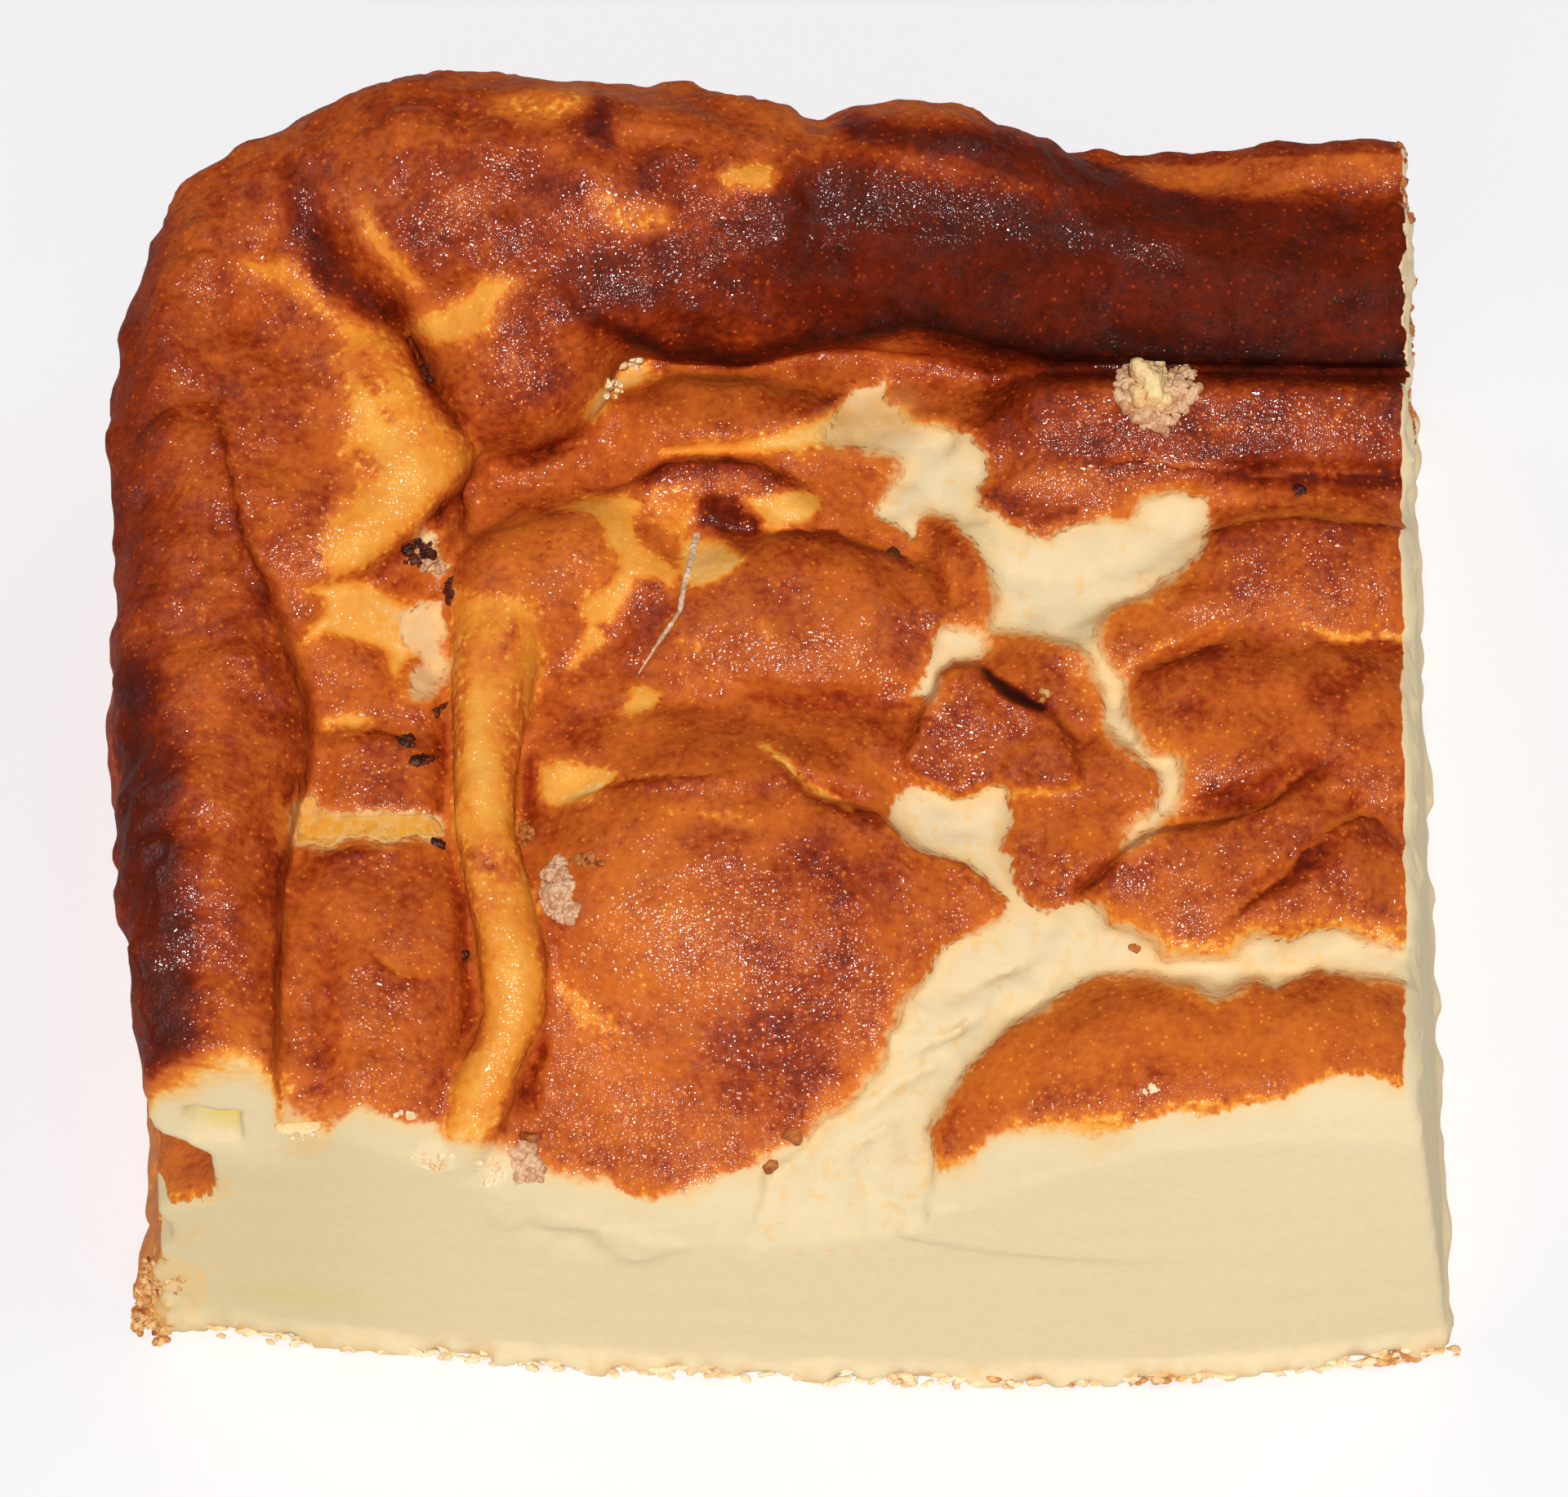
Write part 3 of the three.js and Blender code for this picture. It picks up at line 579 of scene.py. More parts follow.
    patches: tuple[Patch, ...] = rows_of(
        Patch,
        (0.64, 3.0, [(-36, 40, 6), (-20, 38, 8), (-8, 36, 8)]),
        (0.8, 3.0, [(-14, 29, 3.5), (-6, 29.5, 5), (2, 31, 6)]),
        (0.68, 1.0, [(-29, 36.5), (-28.5, 33.5), (-27.4, 31.5), (-26, 30), (-25, 28.5), (-23, 27.8),
            (-22, 28.4), (-21, 30), (-19, 31), (-17, 30), (-15.5, 31), (-15.2, 34), (-15, 37.5),
            (-16.5, 40), (-18, 42), (-22, 42), (-25, 40.4), (-28, 39)]),
        (0.86, 2.4, [(4, 34, 6), (10, 31, 6), (20, 30, 7), (32, 30, 7), (52, 29, 7)]),
        (0.89, 2.4, [(6, 36, 1.6), (13, 34.6, 2.4), (20, 32, 2)]),
        (0.86, 1.4, [(5, 42, 1), (12, 41, 1.6), (17, 39.5, 2), (22, 37.8, 1.8), (26, 36, 1.4),
            (28, 34.5, 1)]),
        (0.56, 0.6, [(22, 39.2), (26, 37.2), (29, 36.4), (32, 36.2), (35, 36.8), (38, 38), (46, 38.4),
            (46, 39.6), (38, 39.6), (34, 39), (28, 39.2)]),
        (0.76, 0.8, [(-11, 37), (-9, 35.7), (-6.5, 35.5), (-4.4, 37.3), (-4.6, 39), (-7, 40),
            (-10.6, 40)]),
        (0.82, 0.6, [(-13.6, 44, 1), (-13.4, 42, 1), (-12.6, 40.6, 0.7)]),
        (0.8, 0.8, [(-17.5, 37, 0.8), (-14.6, 37, 1)]),
        (0.34, 0.8, [(-13, 36, 0.8), (-11.6, 34.6, 1), (-9.4, 34.4, 1)]),
        (0.22, 0.6, [(-3.6, 38, 1), (-2, 38, 1.3)]),
        (0.34, 1.0, [(-19.6, 44, 0.8), (-17, 43.8, 1.2), (-15, 44.6, 0.8)]),
        (0.2, 0.7, [(-26.6, 25), (-26, 26.2), (-24, 27), (-22.8, 28), (-21, 29.6), (-18.5, 29.5),
            (-20, 27.5), (-20.3, 25), (-22, 24), (-24.5, 24.2)]),
        (0.66, 1.4, [(-18.6, 19.6, 4), (-18, 23, 3.6)]),
        (0.86, 0.7, [(-25.6, 7.9, 0.5), (-24.4, 7, 0.5)]),
        (0.63, 2.5, [(-38, 30, 3.6), (-36, 20, 4.6), (-35, 9, 2.6)]),
        (0.76, 1.2, [(-34.6, 38.5, 0.9), (-33.6, 34, 1.1), (-31.6, 30, 1.1), (-29, 27.6, 1),
            (-26.4, 27.2, 0.6)]),
        (0.28, 0.6, [(-37.4, 30.6, 0.6), (-35, 30, 1), (-32.6, 27.6, 0.7)]),
        (0.26, 0.5, [(-29.8, 35, 0.4), (-28.6, 33, 0.7), (-26.6, 30.4, 0.7), (-25.4, 28.8, 0.4)]),
        (0.76, 3.0, [(-46, 34, 3), (-46, 16, 4), (-45, 4, 3)]),
        (0.88, 2.4, [(-44.6, -2, 2), (-43.4, -10, 2.6), (-42, -20, 2.8), (-41, -30, 2.6)]),
        (0.63, 1.6, [(-37, 4, 2.4), (-35.4, -4, 2.8), (-35, -12, 2.4), (-36, -26, 2)]),
        (0.3, 0.4, [(-9.9, 12.6), (-6.4, 12.8), (-5.7, 11.3), (-6.9, 8.6), (-7.8, 8.3), (-8.9, 9.7),
            (-9.7, 10.8)]),
        (0.66, 0.5, [(-15.6, -3.2), (-14, -5.1), (-13.7, -7.5), (-16, -7.3), (-16.3, -5.1)]),
        (0.63, 0.3, [(-10.3, 5.1), (-8.7, 5.3), (-7.8, 4), (-8, 2.7), (-8.9, 1.4), (-8.9, 0),
            (-10.8, -1.1), (-12.1, -0.8), (-11.9, 0.8), (-11.2, 2.2)]),
        (0.68, 0.6, [(-10, 12.8, 0.4), (-8.5, 14, 0.8), (-6, 14.6, 0.8), (-3, 14.4, 0.8),
            (-0.8, 13.5, 0.8), (0.2, 12.3, 0.4)]),
        (0.73, 0.35, [(-6.2, 11.6), (-5.1, 12.4), (-3.7, 12.2), (-3, 10.8), (-2.1, 9.8), (-2.5, 8.7),
            (-4.1, 9), (-6, 9.7)]),
        (0.12, 0.35, [(-3, 11.8), (-1.4, 12), (0, 12.4), (1.6, 12.1), (2.1, 11), (1.3, 9.7), (-1, 9),
            (-2.1, 9.4), (-1.9, 10), (-2.9, 11)]),
        (0.1, 0.35, [(-7.1, 8.3), (-6, 8.7), (-3.9, 8.3), (-3, 6.7), (-3.9, 5.7), (-6, 4.8),
            (-6.9, 5.1)]),
        (0.26, 0.3, [(-7.2, 0.5, 0.2), (-6, 0.2, 0.4), (-5.4, -0.5, 0.2)]),
        (0.38, 0.4, [(-1.8, 1.9, 0.2), (-1.5, 0.8, 0.3), (-1.4, -0.3, 0.2)]),
        (0.15, 0.35, [(-11, -3.8), (-9.9, -3), (-8.5, -4), (-9.2, -5.1), (-10.5, -5.8), (-11.2, -5.1)]),
        (0.16, 0.5, [(-16.9, -9), (-14.9, -8.7), (-11.2, -9.7), (-12.4, -11.6), (-13.3, -12.3),
            (-16.5, -12.1)]),
        (0.1, 0.3, [(-2, -7.6, 0.15), (-1.2, -8.3, 0.3), (0.4, -9.9, 0.3), (1.8, -11.2, 0.35),
            (4, -12.4, 0.2)]),
        # A painted highlight: a thin pale line along the crease in the middle of the top.
        (0.34, 0.4, [(-6.9, -3.1, 0.1), (-4.2, -3, 0.15), (-1.9, -3.4, 0.15), (0, -3.6, 0.15),
            (2, -3.8, 0.1)]),
        (0.34, 0.7, [(-8, -12.8, 0.4), (-5, -12.9, 0.5), (-2.2, -13.6, 0.5)]),
        (0.06, 0.3, [(-32.2, -36.4, 0.5), (-30.6, -37, 0.6)]),
        (0.75, 0.6, [(2.2, 18.6, 1), (3.4, 19.2, 1)]),
        (0.1, 0.6, [(-31, -5.8, 0.3), (-29, -5.6, 0.5), (-28.2, -5.6, 0.4)]),
        (0.68, 2.0, [(3, -19, 3.6), (2, -25, 4), (-1, -33, 3.4)]),
        (0.48, 2.0, [(-10, -17, 4), (-11, -26, 4), (-11, -34, 3)]),
        (0.25, 0.6, [(-15.4, -25.6, 0.3), (-13.6, -28, 0.7), (-11, -29.6, 0.4)]),
        (0.72, 1.6, [(16, 18.4, 3.4), (30, 17.6, 4), (52, 17.4, 4)]),
        # These two strokes and the 0.93 stroke further down darken the band under the back roll: partly its
        # dark burnt skin, partly a painted shadow under the overhang.
        (0.78, 0.9, [(12, 22.4, 0.4), (18, 21.8, 0.7), (30, 21.3, 0.8), (52, 21, 0.8)]),
        (0.88, 0.9, [(10, 25, 0.4), (18, 22.8, 0.7), (30, 22.4, 0.9), (52, 22, 0.9)]),
        (0.61, 1.6, [(30, 7, 3.4), (42, 7, 3.6)]),
        (0.2, 0.4, [(22.4, -1.8, 0.1), (25.6, 0.2, 0.2), (28.8, 1.6, 0.1)]),
        (0.1, 0.4, [(34.8, 1.8, 0.1), (37, 1, 0.3), (39.6, 0.8, 0.2), (43, 1, 0.3)]),
        (0.12, 0.4, [(38.6, -12.4, 0.15), (41.8, -11.2, 0.25)]),
        (0.7, 0.8, [(13.8, 11.6, 0.8), (16.4, 10.8, 1), (19, 10, 0.8)]),
        (0.66, 0.6, [(11, 8.6, 0.8), (12.6, 5, 1.2), (12.6, 2.6, 0.9)]),
        (0.6, 2.0, [(28, -5, 3), (37, -5, 4.4), (37, -16, 4)]),
        (0.5, 1.4, [(13, -33, 1.6), (21, -29, 2.6), (30, -30, 3), (41, -30, 3)]),
        (0.26, 0.7, [(10, -39.4, 0.7), (12.4, -38.6, 0.6)]),
        (0.28, 0.9, [(15, -36.4, 0.5), (19, -36.6, 0.8), (24, -36, 0.7), (31, -34.8, 0.6),
            (36, -33.4, 0.6), (46, -34, 0.5)]),
        (0.3, 0.9, [(22, -22.6, 0.8), (26, -23.6, 0.7), (30, -23, 0.8), (36, -21.6, 0.7),
            (46, -22.6, 0.7)]),
        # Painted shadow along the crease under the overhanging back roll, over its dark burnt skin.
        (0.93, 1.2, [(-13, 26, 0.2), (-8, 23.6, 0.4), (-3, 23.2, 0.5), (4, 25.2, 0.6),
            (10, 26.3, 0.6), (18, 23.9, 0.8), (30, 23.6, 0.8), (52, 23.2, 0.8)]),
        (0.08, 2.6, [(-42.2, -37, 0.3), (-41.1, -35.6, 0.5), (-38.9, -34.6, 0.7), (-37.6, -33.4, 0.7),
            (-35.7, -32.8, 0.6), (-34, -33.4, 0.3)]),
    )
    hearts: tuple[Patch, ...] = rows_of(
        Patch,
        (0.15, 1.6, [(-30.6, 23, 0.4), (-28.4, 18, 1), (-26, 13.4, 1.6), (-28, 9.8, 1), (-30, 7.4, 0.6)]),
        (0.14, 1.2, [(-20.6, -4, 0.3), (-20.4, -8, 0.7), (-20.3, -13, 0.5)]),
        (0.16, 1.2, [(-18.8, -21, 0.2), (-18.2, -25, 0.7), (-18.6, -29, 0.6), (-20, -32.4, 0.5),
            (-21, -35.6, 0.4)]),
        (0.46, 0.7, [(-21.6, -15.4, 0.3), (-20, -16.4, 0.8), (-18.4, -17.6, 0.5)]),
        (0.5, 0.8, [(-17.4, 6.6, 0.6), (-15.6, 4.4, 0.8), (-14.6, 2, 0.5)]),
        (0.52, 0.6, [(-20.6, 6.4, 0.4), (-19, 8.6, 0.7), (-16.4, 9.4, 0.5)]),
        (0.5, 0.5, [(-27.6, 18.6, 0.2), (-27.2, 18, 0.25)]),
        (0.42, 0.6, [(-21.9, 0.6, 0.2), (-22.1, -4, 0.3), (-21.9, -9, 0.2)]),
        (0.44, 0.6, [(-18.2, -3, 0.2), (-18.4, -8, 0.4), (-18.2, -12.6, 0.2)]),
        (0.44, 0.7, [(-21.2, -18.4, 0.3), (-20.6, -23, 0.3), (-20.4, -28.6, 0.2)]),
        (0.46, 0.5, [(-19.4, -0.6, 0.3), (-18, 1.6, 0.3)]),
        (0.5, 0.5, [(-29.4, 15, 0.4), (-28.6, 14, 0.5)]),
        (0.46, 0.8, [(-29.4, 22.6, 0.5), (-28.4, 20.4, 0.6)]),
    )
    gloss: tuple[Patch, ...] = rows_of(
        Patch,
        (0.9, 2.0, [(-4, 1.4, 3), (6, 0.4, 3.4)]),
        (0.9, 2.5, [(-9, -20, 2.4), (-4, -26, 3.4), (4, -26, 3)]),
        (1.5, 1.2, [(16, 18.6, 1.6), (30, 17.4, 2.4), (52, 18, 2.4)]),
        (1.0, 1.0, [(17, 13.4, 1), (24, 12.8, 1.2), (27, 14, 1)]),
        (1.2, 2.0, [(-28, 35, 3), (-19, 36, 4.6), (-12, 33, 3)]),
        (0.07, 2.5, [(2, 29, 4), (20, 29, 6), (52, 28, 6)]),
        (0.9, 1.0, [(-20, 2, 1), (-20.2, -8, 1.2), (-19.4, -20, 1), (-18.4, -28, 1), (-20.4, -34, 0.8)]),
        (0.45, 1.6, [(3, 36, 2), (9, 36.4, 2.6), (16, 35, 2), (26, 32, 1)]),
        (2.2, 0.5, [(10, -8.6, 1.6), (17, -8.4, 2)]),
        (1.3, 1.6, [(-42.2, -8, 1.4), (-41.6, -18, 1.8), (-41, -28, 1.4)]),
        (0.55, 1.5, [(-18, 20, 4.4), (-18, 22, 4)]),
        (0.8, 1.2, [(24.6, -1.4, 0.6), (27, 0.4, 1), (29, 2.6, 1.2)]),
        (1.2, 0.8, [(14, 11.6, 0.8), (19, 10.2, 0.8)]),
        (0.2, 2.0, [(30, -6, 4), (40, -6, 4)]),
        (0.2, 2.0, [(14, -33, 2), (28, -30, 4), (44, -30, 4)]),
    )

    def cracks(self) -> list[tuple[float, Mark]]:
        """Pale marks and how deep they sink."""
        return [(0.9, self.upper_crack), (1.0, self.front_crack), (0.8, self.wedge_crack),
                (0.8, self.under_flap), (0.5, self.under_gold), (0.6, self.left_strip), (0.4, self.tail)]

    def rim(self, u: Array, v: Array) -> Array:
        """Share of 1 on the rolled rim at the left and the back, 0 elsewhere."""
        return np.maximum(smoothstep(*self.rim_left, u), smoothstep(*self.rim_back, v))

    def pale_distance(self, u: Array, v: Array) -> Array:
        """Distance to the nearest crack that shows bare custard, negative inside it.

        Args:
            u, v: Places on the layout level.

        Returns:
            Millimetres for each place.
        """
        bare = (self.upper_crack, self.front_crack, self.wedge_crack, self.under_flap, self.left_strip,
                self.sliver)
        return np.min([mark.edge(u, v) for mark in bare], axis=0)

    def golden(self, u: Array, v: Array) -> Array:
        """How golden the bare custard is, from 0 to 1.

        Args:
            u, v: Places on the layout level.

        Returns:
            One value for each place.
        """
        flap = 0.3 * smoothstep(0.6, -0.6, self.under_flap.edge(u, v))
        tip = 0.5 * smoothstep(2.0, -0.5, self.golden_tip.edge(u, v))
        strip = 0.9 * smoothstep(0.6, -0.6, self.left_strip.edge(u, v))
        return np.max([flap, tip, strip], axis=0)

    def pressed(self, u: Array, v: Array) -> Array:
        """Depth of all the creases together."""
        return np.sum([crease.press(u, v) for crease in self.creases], axis=0)

    def lifted(self, u: Array, v: Array) -> Array:
        """Height of all the folds together."""
        return np.sum([fold.lift(u, v) for fold in self.folds], axis=0)

    def browning_and_shade(self, u: Array, v: Array) -> Array:
        """How dark each place is, from 0, pale, to 1, nearly black: baked colour, with painted shadows under
        the back roll and beside the lifted flake and a painted highlight line.

        Args:
            u, v: Places on the layout level.

        Returns:
            One value for each place.
        """
        bake_and_shade = np.full(u.shape, self.skin_level, dtype=np.float32)
        yellow = rows_of(
            Patch,
            (0.09, 0.4, self.torn_bits.stations), (0.13, 0.7, self.under_gold.stations),
            (0.27, 0.6, self.flap.stations), (0.28, 0.4, self.ridge.stations),
            (0.12, 0.6, self.tail.stations), (0.64, 0.3, self.flake.stations),
            (0.3, 0.3, self.flake_hem.stations),
            # The flake_shade stroke is a painted shadow along the flake's upper right edge.
            (0.97, 0.3, self.flake_shade.stations), (0.46, 0.8, self.hump), (0.19, 0.35, self.column))
        for patch in self.patches + yellow + self.hearts:
            bake_and_shade = patch.paint(bake_and_shade, u, v)
        return bake_and_shade + np.sum([fold.shade(u, v) for fold in self.folds], axis=0)

    def shine(self, u: Array, v: Array) -> Array:
        """How glossy each place is, from 0 to 1.

        Args:
            u, v: Places on the layout level.

        Returns:
            One value for each place.
        """
        shine = np.full(u.shape, self.plain_shine, dtype=np.float32)
        for patch in self.gloss:
            shine = patch.paint(shine, u, v)
        return shine


@dataclass(frozen=True)
class WallDent:
    """A level dent along the left wall, deepest at the front."""

    level: float
    half: float
    depth: float
    full_at: float
    gone_at: float

    def profile(self, z: Array) -> Array:
        """Share of the depth at each height."""
        return np.exp(-(((z - self.level) / self.half) ** 4))


@dataclass
class CakeForm:
    """Sizes of the portion and the signed field of its form, in millimetres."""

    custard_level: float = 27.6
    left_wall: float = -44.3
    back_wall: float = 38.0
    corner_radius: float = 14.0
    wall_rounding: float = 3.0
    left_taper: float = 1.9
    left_taper_start: float = 12.0
    base_flare: float = 1.3
    base_flare_height: float = 4.0
    top_steepness: float = 0.8
    front_foot: float = -40.1
    front_foot_x: float = 16.0
    front_bow_left: float = 0.00126
    front_bow_right: float = 0.0029
    front_lean: float = 0.133
    front_shoulder: float = 3.0
    right_foot: float = 45.1
    right_lean_front: float = 0.136
    right_lean_back: float = 0.06
    right_shoulder: float = 1.2
    half_span: float = 45.0
    layout_level: float = 30.0
    layout_eye: Triple = (-0.25, -300.0, 535.8)
    sight: Triple = (0.0, -0.5, 0.866)
    sag_at: Pair = (-5.0, -40.0)
    sag_half: Pair = (19.0, 13.0)
    sag_depth: float = 10.5
    pocket_half: Triple = (1.9, 2.8, 1.8)
    pocket_at: Triple = (-38.2, -33.1, 23.7)
    back_dent_level: float = 21.5
    back_dent_half: float = 3.2
    back_dent_depth: float = 1.4
    skin_end_front: float = 14.0
    skin_end_rise: float = 11.0
    skin_end_back_rise: float = 8.0
    lumps_at: Pair = (-11.5, 18.0)
    lumps_half: Pair = (9.5, 6.5)
    torn_spots: tuple[tuple[Pair, Pair], ...] = (((-23.4, 22.4), (1.6, 1.3)), ((-19.2, 21.7), (1.5, 1.9)))
    cut_rounding: float = 0.5
    relief_band: float = 2.6
    cell: float = 0.42
    low: Triple = (-49.0, -43.0, -1.5)
    high: Triple = (47.0, 42.5, 45.5)
    wall_dents: tuple[WallDent, ...] = rows_of(
        WallDent, (17.8, 3.7, 4.6, -26.0, 22.0), (10.4, 1.6, 0.9, -30.0, 2.0))
    drag_line: tuple[tuple[float, ...], ...] = ((-3.5, 4.5, 13.0, 24.0), (20.2, 17.8, 15.2, 13.5))
    puffs: tuple[Puff, ...] = rows_of(
        Puff,
        ((-3.5, -18), (15, 13), 3.8),
        ((0, 3), (12, 8), 3.2),
        ((-3, -7.5), (14, 5), 1.5),
        ((27, -31), (19, 8.5), 3.2, 6),
        ((33, -6), (15, 9), 3.0),
        ((31, -17.5), (14, 6), 2.6, 10),
        ((35, 7), (12, 7), 2.6),
        ((24, 2), (7, 4), 1.8, 15),
        ((28, 17.5), (24, 6.5), 3.0),
        ((18, 11), (8, 4.5), 1.6),
        ((11.5, 6), (3.5, 6), 1.4, -8),
        ((20, -13), (7, 9), 1.8, 20),
        ((17, -2), (6, 5), 1.5),
        ((-11.5, 8.5), (6, 6), 1.6),
        ((-4, 19), (11, 4.5), 1.8, -5),
        ((-28, -9.5), (6, 5), 1.2),
        ((-28, -25), (8, 14), 1.5),
        ((-28, -2.5), (6, 4), 0.9),
        ((-35, 15), (14, 20), 7.2),
    )
    rolls: tuple[Roll, ...] = rows_of(
        Roll,
        (1.2, [(-37.4, -46, 23.4, 4.2), (-37.7, -35, 25.4, 4.4), (-38.2, -29, 27.6, 4.8),
               (-38.9, -15, 29, 5.6), (-38.4, -8, 28.2, 6.5), (-39.3, 0, 28.6, 6), (-41.2, 8, 30, 4.9),
               (-42.1, 16, 31, 4.4),
               (-41.7, 24, 31.6, 4.4), (-39.4, 29, 32, 5), (-36.4, 32, 32.4, 5.6), (-32.6, 33, 33.2, 6.8),
               (-27, 32.4, 34.2, 8.5), (-19, 31.6, 34.2, 9.5), (-12, 31.2, 34.3, 9.3), (-4, 31.2, 33.8, 8.5),
               (2, 31.2, 32.8, 7.6), (8.5, 31.4, 33, 8.4), (14, 31, 31.6, 8.2), (20, 30.4, 29.8, 7.7),
               (27, 29.9, 28.6, 7.3), (36, 29.6, 28.4, 7), (54, 29.6, 28.4, 7)]),
        (1.6, [(14, 36, 32, 2.2), (19, 36.4, 31.4, 2.3), (24, 36.5, 30.8, 2.5), (30, 36.4, 31, 2.6),
               (36, 36.2, 31.8, 2.8), (54, 36.2, 32.8, 2.8)]),
        (2.5, [(-19.4, 31, 33.6, 9), (-19.4, 25.5, 32.6, 7.2), (-18.6, 21.6, 31.2, 6.4)]),
        (2.5, [(-33, 26.5, 33.2, 3.4), (-30, 22, 32.4, 3.4), (-27.6, 18, 31.8, 3.8), (-25.6, 14.2, 31, 4),
               (-26.2, 11, 30.4, 4), (-28.4, 8.6, 30, 3.8), (-31, 7, 29.8, 3.6)]),
        (2.5, [(-15.5, 7.2, 26.5, 4.8), (-18.6, 5, 27, 4.6)]),
        (0.8, [(-18.8, 6, 27.4, 4), (-19.6, 2, 28, 3.2), (-20, -2, 28.4, 2.9), (-20.3, -8, 28.8, 2.4),
               (-20.3, -12, 28.8, 2.2), (-19.9, -16, 28.6, 2.1), (-18.9, -20.5, 28, 2.2),
               (-18.3, -24.5, 27.2, 2.3), (-18.7, -28.2, 26.1, 2.2), (-20.1, -31.4, 24.8, 2),
               (-21.2, -33.6, 23, 1.6), (-22.2, -35.6, 20.8, 0.7)]),
        (1.0, [(-10.5, 12.6, 27.6, 1.6), (-7, 14.2, 27.9, 2), (-3, 13.8, 27.9, 2), (0.4, 11.8, 27.6, 1.6)]),
    )
    marks: SkinMarks = field(default_factory=SkinMarks)
    lattice: Lattice = field(default_factory=lambda: Lattice(11))

    def front_cut(self, x: Array, z: Array) -> Array:
        """Y of the front cut.

        Args:
            x, z: Places in millimetres.

        Returns:
            Millimetres for each place.
        """
        along = np.clip(x, -self.half_span, self.half_span) - self.front_foot_x
        bow = np.where(along < 0, self.front_bow_left, self.front_bow_right)
        return self.front_foot + bow * along * along + self.front_lean * z

    def right_cut(self, y: Array, z: Array) -> Array:
        """X of the right cut.

        Args:
            y, z: Places in millimetres.

        Returns:
            Millimetres for each place.
        """
        back = np.clip((y + self.half_span) / (2 * self.half_span), 0.0, 1.0)
        lean = self.right_lean_front + (self.right_lean_back - self.right_lean_front) * back
        return self.right_foot - z * lean

    def layout(self, points: Array) -> tuple[Array, Array]:
        """Places on the layout level that lie on the same sight lines.

        Args:
            points: Places in millimetres, one row each.

        Returns:
            Their X and Y on the layout level.
        """
        t = (points[:, 2] - self.layout_level) / (self.layout_eye[2] - points[:, 2])
        u = points[:, 0] + t * (points[:, 0] - self.layout_eye[0])
        v = points[:, 1] + t * (points[:, 1] - self.layout_eye[1])
        return u, v

    def warped_layout(self, points: Array) -> tuple[Array, Array]:
        """Layout places shaken a little, so that edges run raggedly.

        Args:
            points: Places in millimetres, one row each.

        Returns:
            Their shaken X and Y on the layout level.
        """
        u, v = self.layout(points)
        flat = np.stack([u, v, np.zeros_like(u)], axis=1)
        shake_u = 0.3 * self.lattice.at(flat, 2.3) + 0.25 * self.lattice.at(flat + 31, 0.95)
        shake_v = 0.3 * self.lattice.at(flat + 57, 2.3) + 0.25 * self.lattice.at(flat + 83, 0.95)
        return u + shake_u, v + shake_v

    @staticmethod
    def shoulder_drop(radius: float, away: Array) -> Array:
        """Drop of a rounded edge at a distance from the cut."""
        t = np.clip((radius - away) / radius, 0.0, 1.0)
        return radius * (1.0 - np.sqrt(1.0 - t * t * 0.96))

    def top_height(self, x: Array, y: Array) -> Array:
        """Height of the custard and its puffs, without the rolls.

        Args:
            x, y: Places in millimetres.

        Returns:
            Millimetres for each place.
        """
        height = np.full(np.broadcast(x, y).shape, self.custard_level)
        for puff in self.puffs:
            height = height + puff.height(x, y)
        across, along = (x - self.sag_at[0]) / self.sag_half[0], (y - self.sag_at[1]) / self.sag_half[1]
        height = height - self.sag_depth * np.exp(-across * across - along * along)
        height = height - self.shoulder_drop(self.front_shoulder, y - self.front_cut(x, height))
        return height - self.shoulder_drop(self.right_shoulder, self.right_cut(y, height) - x)

    def wall_distance(self, x: Array, y: Array, z: Array) -> Array:
        """Distance to the outer walls, with their folds and the flare of the base.

        Args:
            x, y, z: Places in millimetres.

        Returns:
            Millimetres for each place, negative inside.
        """
        to_front = smoothstep(self.left_taper_start, self.front_foot, y)
        u = self.left_wall + self.left_taper * to_front + self.corner_radius - x
        v = y - self.back_wall + self.corner_radius
        away = np.minimum(np.maximum(u, v), 0.0) + np.hypot(np.maximum(u, 0.0), np.maximum(v, 0.0))
        away = away - self.corner_radius
        on_left = smoothstep(-4.0, 6.0, u - v)
        for dent in self.wall_dents:
            along = smoothstep(dent.gone_at, dent.full_at, y)
            away = away + dent.depth * on_left * along * dent.profile(z)
        level = (z - self.back_dent_level) / self.back_dent_half
        away = away + self.back_dent_depth * (1.0 - on_left) * np.exp(-(level**2))
        return away - self.base_flare * smoothstep(self.base_flare_height, 0.0, z)

    def skin_end(self, y: Array) -> Array:
        """Level at which the marks of the top end."""
        level = self.skin_end_front + self.skin_end_rise * smoothstep(-34.0, -16.0, y)
        return level + self.skin_end_back_rise * smoothstep(30.0, 37.0, y)

    def axes(self) -> list[Array]:
        """Grid lines along each axis."""
        return [np.arange(a, b, self.cell, dtype=np.float32) for a, b in zip(self.low, self.high)]

